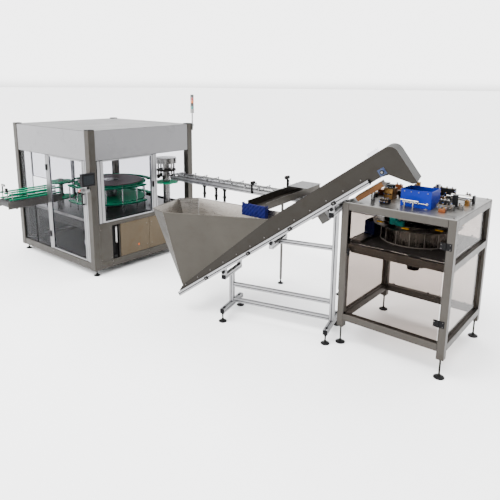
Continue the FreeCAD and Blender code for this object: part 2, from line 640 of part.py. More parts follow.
def operator_panel():
    """The swivelling screen on its bent arm at the near corner, and its stop button."""
    y = "screen_overlap - screen_wide"
    x = "screen_gap"
    case = soften(box(x, y, "screen_bottom", "screen_deep", "screen_wide", "screen_high"),
                  "post_round", (2, 4, 6, 8))
    glass = box("screen_gap + screen_deep", f"{y} + 18", "screen_bottom + 24", "2",
                "screen_wide - 36", "screen_high - 48")
    node("hmi_box", "cell", [case, glass])
    pivot_y = f"({y} + screen_wide / 2)"
    pivot_x = "(screen_gap + screen_deep / 2)"
    arm = [box("-70", f"{pivot_y} - 18", "screen_bottom - 76", f"70 + {pivot_x} + 18", "36",
               "36"),
           box("-70", f"{pivot_y} + 18", "screen_bottom - 76", "36", f"-{pivot_y} - 18", "36"),
           rod(pivot_x, pivot_y, "screen_bottom - 40", "16", "38")]
    block = cut(box("-70", f"{pivot_y} - 64", "screen_bottom - 84", "52", "46", "52"),
                rod("-44", f"{pivot_y} - 65", "screen_bottom - 58", "9.5", "14", "y"))
    node("hmi_arm", "cell", arm + [block])
    button = fuse(rod("-44", f"{pivot_y} - 86", "screen_bottom - 58", "18", "14", "y"),
                  rod("-44", f"{pivot_y} - 72", "screen_bottom - 58", "9", "7.7", "y"))
    node("e_stop", "cell", [button])


def signal_tower():
    x, y = "-post_side / 2 + 35", "cell_deep + 22"
    pieces = [box("-post_side / 2 - 5", "cell_deep", "tower_bottom", "70", "8",
                  "cell_top - tower_bottom"),
              box(f"{x} - 18", "cell_deep + 8", "cell_top - 40", "36", "28", "32"),
              rod(x, y, "cell_top - 8", "11", "tower_tube_top - cell_top + 8"),
              rod(x, y, "tower_tube_top", "lamp_radius", "60")]
    lamp = "((tower_top - tower_tube_top - 60) / lamp_count)"
    for i in range(SIZES["lamp_count"]):
        pieces.append(rod(x, y, f"tower_tube_top + 60 + {i} * {lamp} + 1", "lamp_radius - 2",
                          f"{lamp} - 1"))
    node("signal_tower", "cell", pieces)


# ---------------------------------------------------------------- cap conveyor

TRACK_END = "(sorter_x - sorter_gap)"


def cap_conveyor():
    long = f"{TRACK_END} - track_start"
    far = "track_low + track_wide - track_beam"
    low = "track_level - track_beam_high"
    beams = [box("track_start", y, low, long, "track_beam", "track_beam_high")
             for y in ("track_low", far)]
    ties = [box(f"track_start + {spot} * ({long})", "track_low", f"{low} - 6", "30",
                "track_wide", "6") for spot in (0.04, 0.3, 0.62, 0.95)]
    node("cap_frame", "cell", beams + ties)
    centre = "(track_level - track_drum - belt_thick - 4)"
    belt = loop("track_start + 30", f"({TRACK_END} - 30)", centre, "track_drum", "belt_thick",
                "(track_belt_wide / 2)")
    put(belt, "0", "track_low + track_wide / 2", "0")
    node("cap_belt", "cell", [belt])
    drum = rod("track_start + 30", "track_low + track_beam + 5", centre, "track_drum - 0.5",
               "track_wide - 2 * track_beam - 10", "y")
    node("cap_drum", "cell", [drum])
    rods = [box("track_start + 10", f"track_low + track_wide / 2 + {shift}", "rung_level - 20",
                f"{long} - 20", "8", "20") for shift in (-72, -34, 26, 64)]
    rungs = []
    count = int((SIZES["sorter_x"] - SIZES["sorter_gap"] - SIZES["track_start"] - 80)
                / SIZES["rung_pitch"]) + 1
    for i in range(count):
        x = f"track_start + 40 + {i} * rung_pitch"
        rungs.append(box(x, "track_low + 6", "rung_level", "16", "track_wide - 12", "8"))
        for y in ("track_low + 10", f"{far} + 14"):
            rungs.append(box(f"{x} + 2", y, "track_level", "12", "12",
                             "rung_level - track_level"))
    node("cap_guides", "cell", rods + rungs)
    hangers = []
    for x in ("first_hanger", "middle_hanger", "last_hanger"):
        y, neck = "track_low + track_beam / 2", "36"
        hangers.append(fuse(rod(x, y, f"{low} - hanger_drop", "hanger_radius",
                                f"hanger_drop - {neck}"),
                            cone(x, y, f"{low} - {neck}", "hanger_radius", "track_beam - 6",
                                 neck),
                            rod(x, y, f"{low} - 0.7 * hanger_drop", "hanger_radius + 6",
                                "24")))
    node("cap_hangers", "cell", hangers)
    sensor = [box("sensor_x", "track_low - 14", f"{low} + 8", "30", "14", "122"),
              rod("sensor_x + 15", "track_low - 20", f"{low} + 158", "20", "70", "y"),
              box("sensor_x + 4", "track_low - 14", f"{low} + 130", "22", "40", "8"),
              box("far_sensor_x", "track_low + track_wide", low, "40", "12", "210"),
              rod("far_sensor_x + 20", "track_low + track_wide - 46", f"{low} + 243", "24",
                  "70", "y"),
              box("far_sensor_x + 8", "track_low + track_wide - 24", f"{low} + 210", "24",
                  "36", "8")]
    node("cap_sensor", "cell", sensor)
    legs = []
    middle = "track_low + track_wide / 2 + 60"
    for x, y, plate in (("leg_x", "track_low + track_beam / 2", "0"),
                        ("leg_x + leg_pitch", middle, "12")):
        legs += pad_foot(x, y, "foot_high + 60", "38")
        legs.append(rod(x, y, "foot_high + 60", "leg_radius",
                        f"{low} - {plate} - foot_high - 60"))
    tie = box("leg_x + leg_pitch - 20", "track_low", f"{low} - 12", "40", "track_wide", "12")
    node("cap_leg", "cell", legs + [tie])


# ---------------------------------------------------------------- elevator

def slope_spot(along, across, square):
    """A point of the elevator's own frame from slope coordinates."""
    turn = math.radians(SIZES["slope"])
    return Vector(SIZES["tail_x"] + along * math.cos(turn) - square * math.sin(turn), across,
                  SIZES["tail_z"] + along * math.sin(turn) + square * math.cos(turn))


def elevator_rails():
    pieces = [box("0", y, "0", "rail_length", "rail_wide", "rail_side")
              for y in ("half_width", "-half_width - rail_wide")]
    ends = [box("-6", y, "2", "6", "rail_wide - 4", "rail_side - 4")
            for y in ("half_width + 2", "-half_width - rail_wide + 2")]
    node("elevator_rails", "elevator", [sloped(pieces + ends)])


def wall_outline():
    """Side wall outline in slope coordinates: trough, rounded nose and spout."""
    front, top, nose = SIZES["front_u"], SIZES["wall_high"], SIZES["nose_radius"]
    low = SIZES["wall_low"]
    corner = nose * (1 - math.cos(math.radians(45)))
    points = [(0, low), (front - 254, low), (front - 183, -10),
              (front - 45, 9 - SIZES["spout_drop"]), (front, -SIZES["spout_drop"]),
              (front, top - nose)]
    arc = [(front, top - nose), (front - corner, top - corner), (front - nose, top)]
    rest = [(front - nose, top), (SIZES["bend_u"], top),
            (SIZES["hopper_foot_u"], SIZES["hopper_foot_w"]), (0, 60), (0, low)]
    spots = [Vector(u, 0, w) for u, w in points]
    edges = [Part.LineSegment(a, b).toShape() for a, b in zip(spots, spots[1:])]
    edges.append(Part.Arc(*[Vector(u, 0, w) for u, w in arc]).toShape())
    spots = [Vector(u, 0, w) for u, w in rest]
    edges += [Part.LineSegment(a, b).toShape() for a, b in zip(spots, spots[1:])]
    return Part.Face(Part.Wire(edges))


def elevator_panels():
    walls = []
    for side in (-1, 1):
        inner = SIZES["half_width"] - SIZES["sheet"]
        wall = wall_outline().extrude(Vector(0, SIZES["sheet"], 0))
        wall.translate(Vector(0, inner if side > 0 else -SIZES["half_width"], 0))
        hole = rod("head_axis", "-half_width - 5", "axis_high", "shaft_radius + 3",
                   "2 * half_width + 10", "y")
        walls.append(cut(plain("Wall", wall), hole))
    node("elevator_panels", "elevator", [sloped(walls)])


def elevator_bed():
    inner = "(half_width - sheet)"
    deck = "axis_high + elevator_drum - 7"
    pieces = [box("tail_axis + 40", f"-{inner}", deck, "head_axis - tail_axis - 85",
                  f"2 * {inner}", "6")]
    for spot in (0.08, 0.3, 0.52, 0.74, 0.93):
        pieces.append(box(f"{spot} * rail_length", f"-{inner}", "axis_high - 16", "40",
                          f"2 * {inner}", "elevator_drum + 9"))
    for y in (f"-{inner}", "belt_half + 4"):
        pieces.append(box("tail_axis + 40", y, f"{deck} + 6", "head_axis - tail_axis - 85",
                          f"{inner} - belt_half - 4", "10"))
    pieces.append(box("drip_start", f"-{inner}", "-drip_deep", "drip_long", "drip_wide",
                      "drip_deep - 30"))
    node("elevator_bed", "elevator", [sloped(pieces)])


def elevator_belt():
    """The belt with its cleats, on the upper run and the lower one."""
    band = loop("tail_axis", "head_axis", "axis_high", "elevator_drum", "belt_thick",
                "belt_half")
    pieces = [band]
    pitch = "((head_axis - tail_axis - 120) / (cleat_count - 1))"
    up = "axis_high + elevator_drum + belt_thick"
    down = "axis_high - elevator_drum - belt_thick - cleat_high"
    for i in range(SIZES["cleat_count"]):
        x = f"tail_axis + 60 + {i} * {pitch}"
        for z in (up, down):
            pieces.append(box(x, "6 - belt_half", z, "cleat_thick", "2 * belt_half - 12",
                              "cleat_high"))
    node("elevator_belt", "elevator", [sloped(pieces)])


def drums():
    head = fuse(rod("head_axis", "3 - belt_half", "axis_high", "elevator_drum - 0.5",
                    "2 * belt_half - 6", "y"),
                rod("head_axis", "-half_width - 30", "axis_high", "shaft_radius",
                    "2 * half_width + 60", "y"))
    node("head_drum", "elevator", [sloped([head])])
    tail = fuse(rod("tail_axis", "3 - belt_half", "axis_high", "elevator_drum - 0.5",
                    "2 * belt_half - 6", "y"),
                rod("tail_axis", "sheet + 2 - half_width", "axis_high", "shaft_radius",
                    "2 * half_width - 2 * sheet - 4", "y"))
    node("tail_drum", "elevator", [sloped([tail])])


def elevator_bearings():
    pieces = []
    bore = "shaft_radius + running_gap"
    for y in ("-half_width - 22", "half_width"):
        block = fuse(box("head_axis - 34", y, "axis_high - 34", "68", "8", "68")
                     if y == "half_width" else
                     box("head_axis - 34", "-half_width - 8", "axis_high - 34", "68", "8", "68"),
                     rod("head_axis", y, "axis_high", "27", "22", "y"))
        pieces.append(cut(block, rod("head_axis", f"{y} - 1", "axis_high", bore, "24", "y")))
    for y in ("sheet - half_width", "belt_half + 6"):
        long = "half_width - sheet - belt_half - 6"
        pieces.append(cut(box("tail_axis - 22", y, "axis_high - 22", "44", long, "44"),
                          rod("tail_axis", f"{y} - 1", "axis_high", bore, f"{long} + 2", "y")))
    node("elevator_bearings", "elevator", [sloped(pieces)])


def elevator_hood():
    """Head cover bent over the nose, the spout's back plate, and the clear window box."""
    front, top, nose = SIZES["front_u"], SIZES["wall_high"], SIZES["nose_radius"]
    thick, start, drop = SIZES["sheet"], SIZES["hood_start"], SIZES["spout_drop"]
    inner = SIZES["half_width"] - thick

    def bend(radius, reach):
        lean = radius * math.cos(math.radians(45))
        middle = Vector(front - nose + lean, 0, top - nose + lean)
        return Part.Arc(Vector(front - nose, 0, reach), middle,
                        Vector(front - nose + radius, 0, top - nose)).toShape()
    outer = [Part.LineSegment(Vector(start, 0, top), Vector(front - nose, 0, top)).toShape(),
             bend(nose, top),
             Part.LineSegment(Vector(front, 0, top - nose), Vector(front, 0, -drop)).toShape(),
             Part.LineSegment(Vector(front, 0, -drop),
                              Vector(front - thick, 0, -drop)).toShape(),
             Part.LineSegment(Vector(front - thick, 0, -drop),
                              Vector(front - thick, 0, top - nose)).toShape(),
             bend(nose - thick, top - thick),
             Part.LineSegment(Vector(front - nose, 0, top - thick),
                              Vector(start, 0, top - thick)).toShape(),
             Part.LineSegment(Vector(start, 0, top - thick), Vector(start, 0, top)).toShape()]
    cover = Part.Face(Part.Wire(Part.__sortEdges__(outer))).extrude(Vector(0, 2 * inner, 0))
    cover.translate(Vector(0, -inner, 0))
    back = [Vector(front - 183, -inner, -10), Vector(front - 45, -inner, 9 - drop),
            Vector(front - 42, -inner, 11 - drop), Vector(front - 180, -inner, -8)]
    spout = Part.Face(Part.makePolygon(back + [back[0]])).extrude(Vector(0, 2 * inner, 0))
    window = box("front_u - 264", "-half_width + 30", "wall_high", "110", "90", "36")
    node("elevator_hood", "elevator", [sloped([plain("Cover", cover), plain("Spout", spout),
                                               window])])


def hopper():
    """Open hopper of five flat sheets, from its level rim down to the belt's tail."""
    rim = slope_spot(SIZES["bend_u"], 0, SIZES["wall_high"]).z
    foot = slope_spot(SIZES["hopper_foot_u"], 0, SIZES["hopper_foot_w"])
    mouth = slope_spot(SIZES["bend_u"], 0, SIZES["wall_high"])
    half = SIZES["half_width"]
    shapes = []
    for side in (-1, 1):
        end = Vector(SIZES["rim_end_x"], side * SIZES["rim_end_half"], rim)
        corner = Vector(SIZES["rim_corner_x"], side * SIZES["rim_corner_half"], rim)
        throat = Vector(mouth.x, side * half, rim)
        low = Vector(foot.x, side * half, foot.z)
        order = 1 if side < 0 else -1
        shapes.append(plate([low, throat, corner][::order], SIZES["sheet"]))
        shapes.append(plate([low, corner, end][::order], SIZES["sheet"]))
    ends = [Vector(foot.x, half, foot.z), Vector(foot.x, -half, foot.z),
            Vector(SIZES["rim_end_x"], -SIZES["rim_end_half"], rim),
            Vector(SIZES["rim_end_x"], SIZES["rim_end_half"], rim)]
    shapes.append(plate(ends, SIZES["sheet"]))
    node("hopper", "elevator", [plain("Sheet", shape) for shape in shapes])


def elevator_gearmotor():
    """Gearmotor slung under the deck, hung from a plate across the rails."""
    low = "0.735 * rail_length"
    pieces = [box(low, "-half_width - rail_wide", "-10", "90", "2 * half_width + 2 * rail_wide",
                  "10"),
              box(low, "-50", "-112", "90", "110", "102"),
              rod(f"{low} + 45", "60", "-62", "42", "150", "y"),
              rod(f"{low} + 45", "210", "-62", "45", "14", "y")]
    node("elevator_gearmotor", "elevator", [sloped(pieces)])


def wedge(x, base, side):
    """A cheek between a level crossbar and the sloping rail above it."""
    turn = math.tan(math.radians(SIZES["slope"]))
    wide = SIZES["profile"]
    start = SIZES["half_width"] + 3

    def under(spot):
        return SIZES["tail_z"] + (spot - SIZES["tail_x"]) * turn
    y = start if side > 0 else -start - SIZES["wedge_wide"]
    corners = [Vector(x, y, base), Vector(x + wide, y, base),
               Vector(x + wide, y, under(x + wide)), Vector(x, y, under(x))]
    return Part.Face(Part.makePolygon(corners + [corners[0]])).extrude(
        Vector(0, SIZES["wedge_wide"], 0))


def stand_frame():
    """The elevator's stand: two columns with crossbars, long rails and the upper tie."""
    half = "profile / 2"
    bar_half = "(half_width + rail_wide)"
    tee_top = "(tee_bottom + profile)"
    pieces = []
    for x, top in (("0", "column_low"), ("column_gap", "column_high")):
        pieces.append(box(f"{x} - {half}", f"-{half}", tee_top, "profile", "profile",
                          f"{top} - {tee_top}"))
        pieces.append(box(f"{x} - {half}", f"-{bar_half}", top, "profile", f"2 * {bar_half}",
                          "profile"))
    for level in ("low_rail", "high_rail"):
        pieces.append(box(half, "-rail_profile / 2", f"{level} - rail_profile / 2 + 15",
                          "column_gap - profile", "rail_profile", "rail_profile"))
    pieces.append(box("tie_x + profile", "-rail_profile / 2", "tie_level",
                      f"column_gap - {half} - tie_x - profile", "rail_profile", "rail_profile"))
    pieces.append(box("tie_x", f"-{bar_half}", "tie_level - 10", "profile", f"2 * {bar_half}",
                      "rail_profile"))
    profile = SIZES["profile"]
    spots = ((-profile / 2, SIZES["column_low"] + profile),
             (SIZES["column_gap"] - profile / 2, SIZES["column_high"] + profile),
             (SIZES["tie_x"], SIZES["tie_level"] - 10 + SIZES["rail_profile"]))
    for x, base in spots:
        for side in (-1, 1):
            pieces.append(plain("Cheek", wedge(x, base, side)))
    node("stand_frame", "elevator", pieces)


def stand_feet():
    pieces = []
    for x in ("0", "column_gap"):
        pieces.append(box(f"{x} - profile / 2", "-tee_half", "tee_bottom", "profile",
                          "2 * tee_half", "profile"))
        for y in ("-tee_half + pad_inset", "tee_half - pad_inset"):
            pieces += pad_foot(x, y, "tee_bottom", "pad_radius", "pad_high")
    node("stand_feet", "elevator", pieces)


# ---------------------------------------------------------------- return chute

def return_chute():
    """Sheet chute over the cap conveyor, falling gently to a curtain above the hopper."""
    wall = [box("0", "0", "0", "chute_wide", "chute_long", "sheet"),
            box("0", "0", "sheet", "sheet", "chute_long", "chute_wall - sheet"),
            box("chute_wide - sheet", "0", "sheet", "sheet", "chute_long",
                "chute_wall - sheet"),
            box("-16", "chute_long - lid_long", "chute_wall", "chute_wide + 32", "lid_long",
                "4")]
    holder = group("Chute", wall)
    put(holder, "chute_x", "chute_y", "chute_z", Rotation(Vector(1, 0, 0), 1))
    bind(holder, "Placement.Rotation.Angle", "chute_rise")
    posts = []
    for x in ("chute_x + 20", "chute_x + chute_wide - 40"):
        for y in ("track_low + 20", "track_low + track_wide - 32"):
            posts.append(box(x, y, "track_level", "20", "12",
                             f"chute_z - track_level + ({y} - chute_y) * tan(chute_rise) - 1"))
    node("return_chute", "cell", [holder] + posts)
    low = "chute_z - skirt_drop"
    tall = "skirt_drop + chute_wall - 20"
    front = "chute_y - skirt_gap - skirt_deep"
    left, wide = "(chute_x - skirt_over)", "(chute_wide + 2 * skirt_over)"
    curtain = [box(left, front, low, wide, "4", tall),
               box(left, f"{front} + 4", low, "4", "skirt_deep - 4", tall),
               box(f"{left} + {wide} - 4", f"{front} + 4", low, "4", "skirt_deep - 4", tall),
               box(left, front, f"{low} + {tall}", wide, "skirt_deep", "4")]
    node("return_skirt", "cell", curtain)


# ---------------------------------------------------------------- sorter

def sorter_frame():
    span_x, span_y = "sorter_wide - 2 * tube", "sorter_deep - 2 * tube"
    pieces = []
    for x in ("0", "sorter_wide - tube"):
        for y in ("0", "sorter_deep - tube"):
            pieces.append(soften(box(x, y, "post_bottom", "tube", "tube",
                                     "sorter_top - post_bottom"), "tube_round"))
    for z in ("sorter_rail", "sorter_top - tube"):
        for y in ("0", "sorter_deep - tube"):
            pieces.append(box("tube", y, z, span_x, "tube", "tube"))
        for x in ("0", "sorter_wide - tube"):
            pieces.append(box(x, "tube", z, "tube", span_y, "tube"))
    for y in ("16", "sorter_deep - tube"):
        pieces.append(box("tube", y, "shelf_bottom", span_x, "tube - 16",
                          "shelf_top - shelf_bottom"))
    for x in ("0", "sorter_wide - tube"):
        pieces.append(box(x, "tube", "shelf_bottom", "tube", span_y,
                          "shelf_top - shelf_bottom"))
    for z in ("hinge_low", "hinge_high"):
        pieces.append(box("sorter_wide - tube + 4", "-5", z, "46", "5", "hinge_tall"))
    node("sorter_frame", "sorter", pieces)


def sorter_feet():
    pieces = []
    for x in ("tube / 2", "sorter_wide - tube / 2"):
        for y in ("tube / 2", "sorter_deep - tube / 2"):
            pieces += pad_foot(x, y, "post_bottom", "sorter_pad", "pad_high")
    node("sorter_feet", "sorter", pieces)


def sorter_shelf():
    """Shelf plate with the bowl's drive under it, and the slide rail below the front."""
    plate_top = box("tube", "tube", "shelf_top", "sorter_wide - 2 * tube",
                    "sorter_deep - 2 * tube", "shelf_thick")
    hole = rod("bowl_x", "bowl_y", "shelf_top - 1", "30", "shelf_thick + 2")
    drive = [box("bowl_x - 70", "bowl_y - 70", "shelf_top - 120", "140", "140", "120"),
             rod("bowl_x", "bowl_y", "shelf_top - 300", "60", "180")]
    rail = box("tube + 6", "80", "shelf_bottom - 34", "0.67 * sorter_wide", "24", "16")
    ramp = box("tube + 10", "90", "shelf_top + shelf_thick", "100", "ramp_long", "26")
    node("sorter_shelf", "sorter", [cut(plate_top, hole)] + drive + [rail, ramp])


def sorter_top_plate():
    blank = box("4", "4", "sorter_top", "sorter_wide - 8", "sorter_deep - 8", "top_thick")
    slot = box("box_x + box_sheet + 4", "box_y + box_sheet + 4", "sorter_top - 1",
               "box_wide - 2 * box_sheet - 8", "box_deep - 2 * box_sheet - 8", "top_thick + 2")
    node("sorter_top", "sorter", [cut(blank, slot)])


def sorter_chute():
    """Open blue box that takes the caps down into the bowl, and a blue crate on the shelf."""
    outer = box("box_x", "box_y", "sorter_top + top_thick", "box_wide", "box_deep", "box_high")
    inner = box("box_x + box_sheet", "box_y + box_sheet", "sorter_top + top_thick - 1",
                "box_wide - 2 * box_sheet", "box_deep - 2 * box_sheet", "box_high + 2")
    crate = box("crate_x", "crate_y", "shelf_top + shelf_thick", "crate_wide", "crate_deep",
                "crate_high")
    hollow = box("crate_x + box_sheet", "crate_y + box_sheet",
                 "shelf_top + shelf_thick + box_sheet", "crate_wide - 2 * box_sheet",
                 "crate_deep - 2 * box_sheet", "crate_high")
    node("sorter_chute", "sorter", [cut(outer, inner), cut(crate, hollow)])


def sorter_panes():
    low, high = "sorter_rail + tube + 2", "shelf_bottom - sorter_rail - tube - 4"
    up, tall = "shelf_top + 2", "sorter_top - tube - shelf_top - 4"
    span_x, span_y = "sorter_wide - 2 * tube - 4", "sorter_deep - 2 * tube - 4"
    pieces = []
    for z, size in ((low, high), (up, tall)):
        pieces.append(box("tube + 2", "sorter_deep - tube / 2", z, span_x, "pane_thick", size))
        pieces.append(box("sorter_wide - tube / 2", "tube + 2", z, "pane_thick", span_y, size))
    pieces.append(box("tube / 2", "tube + 2", low, "pane_thick", span_y, high))
    pieces.append(box("tube / 2", "tube + 2", up, "pane_thick", "0.62 * sorter_deep", tall))
    node("sorter_panes", "sorter", pieces)


def sorter_door():
    """Frameless clear door on black hinges, with a knob latch at its free side."""
    low = "sorter_rail + tube + 6"
    high = "sorter_top - tube - 6"
    pane = box("tube + 6", "4", low, "sorter_wide - 2 * tube - 12", "pane_thick",
               f"{high} - ({low})")
    pieces = [pane]
    axis = "(sorter_wide - tube - 2)"
    for z in ("hinge_low", "hinge_high"):
        leaf = fuse(box(f"{axis} - 46", "-2", z, "42", "6", "hinge_tall"),
                    rod(axis, "-8", z, "5", "hinge_tall"),
                    box(f"{axis} - 46", "-8", z, "46", "6", "hinge_tall"))
        pieces.append(leaf)
    latch = fuse(box("tube + 10", "-4", "shelf_bottom - 40", "26", "8", "66"),
                 rod("tube + 23", "-22", "shelf_bottom - 8", "10", "18", "y"))
    node("sorter_door", "sorter", pieces + [latch])


def sorter_bowl():
    """Sorting bowl: a spun drum with a wide flange, its disc, and the guard hoops."""
    centre = ("bowl_x", "bowl_y")
    inner = "bowl_radius - bowl_sheet"
    drum = cut(fuse(rod(*centre, "bowl_bottom", "bowl_radius", "bowl_rim - bowl_bottom"),
                    rod(*centre, "bowl_rim", "flange_radius", "bowl_sheet"),
                    rod(*centre, "bowl_rim", "bowl_radius", "26")),
               rod(*centre, "bowl_bottom + bowl_sheet", inner, "400"),
               rod(*centre, "bowl_bottom - 1", "40", "20"))
    stubs = [rod(f"bowl_x + 0.8 * bowl_radius * cos({turn})",
                 f"bowl_y + 0.8 * bowl_radius * sin({turn})", "shelf_top + shelf_thick", "12",
                 "bowl_bottom - shelf_top - shelf_thick") for turn in range(0, 360, 60)]
    node("bowl_shell", "sorter", [drum] + stubs)
    disc = fuse(rod(*centre, "bowl_disc_level", "bowl_disc", "8"),
                cone(*centre, "bowl_disc_level + 8", "0.8 * bowl_disc", "30", "46"),
                rod(*centre, "shelf_top + 2", "22", "bowl_disc_level - shelf_top - 2"))
    node("bowl_disc", "sorter", [disc])
    hoops = []
    for z, tall in (("shelf_top + shelf_thick + 12", "10"), ("bowl_rim - 14", "10")):
        hoops.append(cut(rod(*centre, z, "cage_radius + 4", tall),
                         rod(*centre, f"{z} - 1", "cage_radius - 4", f"{tall} + 2")))
    bars = []
    gap = "shelf_top + shelf_thick + 22"
    for i in range(SIZES["cage_count"]):
        turn = (i + 0.5) * 360 / SIZES["cage_count"]
        bars.append(rod(f"bowl_x + cage_radius * cos({turn})",
                        f"bowl_y + cage_radius * sin({turn})", gap, "4",
                        f"bowl_rim - 14 - ({gap})"))
    ties = [rod(f"bowl_x + cage_radius * cos({turn})", f"bowl_y + cage_radius * sin({turn})",
                "shelf_top + shelf_thick", "4", "12") for turn in range(15, 360, 60)]
    node("bowl_cage", "sorter", hoops + bars + ties)


def air_valves():
    """Pneumatics and drives on the sorter's top: manifold, cylinders, bracket and gear."""
    top = "sorter_top + top_thick"
    pieces = [box("800", "300", top, "150", "60", "46")]
    pieces += [box(x, "310", f"{top} + 46", "26", "40", "40") for x in ("820", "852", "884")]
    pieces += [rod("790", "760", f"{top} + 44", "30", "200", "x"),
               box("770", "735", top, "20", "50", "44"), box("990", "735", top, "20", "50", "78")]
    pieces += [rod("560", "150", top, "8", "66"), rod("640", "150", top, "8", "66"),
               rod("520", "150", f"{top} + 74", "8", "170", "x"),
               box("250", "380", top, "90", "120", "110"), rod("295", "440", f"{top} + 110", "42",
                                                               "34"),
               box("400", "640", top, "160", "80", "88"), rod("480", "680", f"{top} + 88", "24",
                                                              "70")]
    pieces += [box("300", "180", top, "90", "60", "38"), rod("200", "250", top, "20", "90"),
               box("720", "560", top, "60", "90", "56"), rod("900", "520", top, "26", "110"),
               box("120", "520", top, "180", "70", "60"), rod("160", "660", top, "30", "120"),
               rod("330", "560", f"{top} + 40", "26", "150", "y"), box("312", "600", top, "36",
                                                                       "60", "14"),
               box("560", "880", top, "220", "60", "90"), rod("640", "800", top, "22", "140")]
    node("air_valves", "sorter", pieces)


for make in (cell_frame, cell_fascias, cell_roof, cell_mullions, cell_panes, cell_cabinet,
             cell_table, cell_feet, turret, guide_rings, guide_standoffs, infeed_star,
             capping_turret, infeed_conveyor, drive_units, front_door, side_door,
             cabinet_doors, operator_panel, signal_tower, cap_conveyor, elevator_rails,
             elevator_panels, elevator_bed, elevator_belt, drums, elevator_bearings,
             elevator_hood, hopper, elevator_gearmotor, stand_frame, stand_feet, return_chute,
             sorter_frame, sorter_feet, sorter_shelf, sorter_top_plate, sorter_chute,
             sorter_panes, sorter_door, sorter_bowl, air_valves):
    make()
doc.recompute()

faults = [thing.Label for thing in doc.Objects
          if "Invalid" in thing.State or "Error" in thing.State]
faults += [thing.Label for thing in nodes
           if thing.Shape.isNull() or not thing.Shape.isValid() or not thing.Shape.Solids]
if faults:
    raise RuntimeError(f"failed objects: {faults}")
os.makedirs("parts", exist_ok=True)
for thing in nodes:
    thing.Shape.exportStep(f"parts/{thing.Label}.step")
print(len(nodes), "nodes", sum(len(thing.Shape.Solids) for thing in nodes), "solids")
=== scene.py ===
# A capping line: a guarded rotary capping cell, its cap conveyor, the hopper elevator and the cap sorter.
# Lengths are in metres in the row's frame, Z up, with the cell's bottle conveyor towards -Y.
from itertools import product
from math import cos, pi, radians, sin

import bmesh
import bpy
from mathutils import Matrix, Vector


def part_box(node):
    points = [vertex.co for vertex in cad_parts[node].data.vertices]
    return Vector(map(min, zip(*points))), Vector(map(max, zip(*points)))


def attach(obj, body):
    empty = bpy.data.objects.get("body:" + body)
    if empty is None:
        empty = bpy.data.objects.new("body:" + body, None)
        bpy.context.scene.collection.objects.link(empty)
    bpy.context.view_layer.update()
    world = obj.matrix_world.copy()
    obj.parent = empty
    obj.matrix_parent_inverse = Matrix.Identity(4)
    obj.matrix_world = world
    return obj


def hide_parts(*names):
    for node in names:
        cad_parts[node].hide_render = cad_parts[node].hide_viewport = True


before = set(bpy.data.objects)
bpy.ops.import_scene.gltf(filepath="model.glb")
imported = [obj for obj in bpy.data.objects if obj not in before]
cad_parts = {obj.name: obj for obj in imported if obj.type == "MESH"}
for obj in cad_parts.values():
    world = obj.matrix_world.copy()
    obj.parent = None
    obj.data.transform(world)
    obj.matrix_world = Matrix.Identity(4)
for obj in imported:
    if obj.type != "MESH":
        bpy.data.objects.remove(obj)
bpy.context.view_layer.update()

# ---- Camera, floor and light ----
# The camera stands at eye height beyond the sorter, looking down the line at the cell, on a pale
# studio floor under a bright ceiling: long overhead softboxes give the sheet steel its soft bands.
scene = bpy.context.scene
camera = bpy.data.objects.new("camera", bpy.data.cameras.new("camera"))
scene.collection.objects.link(camera)
camera.data.lens, camera.data.shift_x, camera.data.shift_y = 36.46, .0193, -.1114
eye, heading, tilt, roll = (4.495, -4.4155, 2.6), 39.94, 77.89, .426
camera.matrix_world = (Matrix.Translation(eye) @ Matrix.Rotation(radians(heading), 4, "Z")
    @ Matrix.Rotation(radians(tilt), 4, "X") @ Matrix.Rotation(radians(roll), 4, "Z"))
scene.camera = camera


class Wire:
    """A socket of a finish's nodes, with plain arithmetic on it."""

    def __init__(self, tree, socket=None):
        self.tree, self.socket = tree, socket

    def node(self, kind, settings=(), out=0, **values):
        made = self.tree.nodes.new("ShaderNode" + kind)
        for key, value in dict(settings).items():
            if key == "stops":
                for place, colour in value[2:]:
                    made.color_ramp.elements.new(place)
                for stop, (place, colour) in zip(made.color_ramp.elements, sorted(value)):
                    stop.position, stop.color = place, (*colour, 1)
            else:
                setattr(made, key, value)
        for key, value in values.items():
            name = int(key[1:]) if key[0] == "_" else key.replace("_", " ")
            if isinstance(value, Wire):
                self.tree.links.new(value.socket, made.inputs[name])
            else:
                made.inputs[name].default_value = value
        return Wire(self.tree, made.outputs[out] if made.outputs else None)

    def math(self, operation, first, second):
        return self.node("Math", {"operation": operation}, _0=first, _1=second)

    def __add__(self, other):
        return self.math("ADD", self, other)

    def __sub__(self, other):
        return self.math("SUBTRACT", self, other)

    def __rsub__(self, other):
        return self.math("SUBTRACT", other, self)

    def __mul__(self, other):
        return self.math("MULTIPLY", self, other)

    __radd__, __rmul__ = __add__, __mul__


def new_finish(name):
    material = bpy.data.materials.new(name)
    material.use_nodes = True
    material.node_tree.nodes.clear()
    wire = Wire(material.node_tree)
    return material, wire, wire.node("TexCoord", out="Object")


def mixed(wire, share, first, second):
    """One colour turning into another as share goes from 0 to 1."""
    return wire.node("Mix", {"data_type": "RGBA"}, out=2, _0=share, _6=first, _7=second)


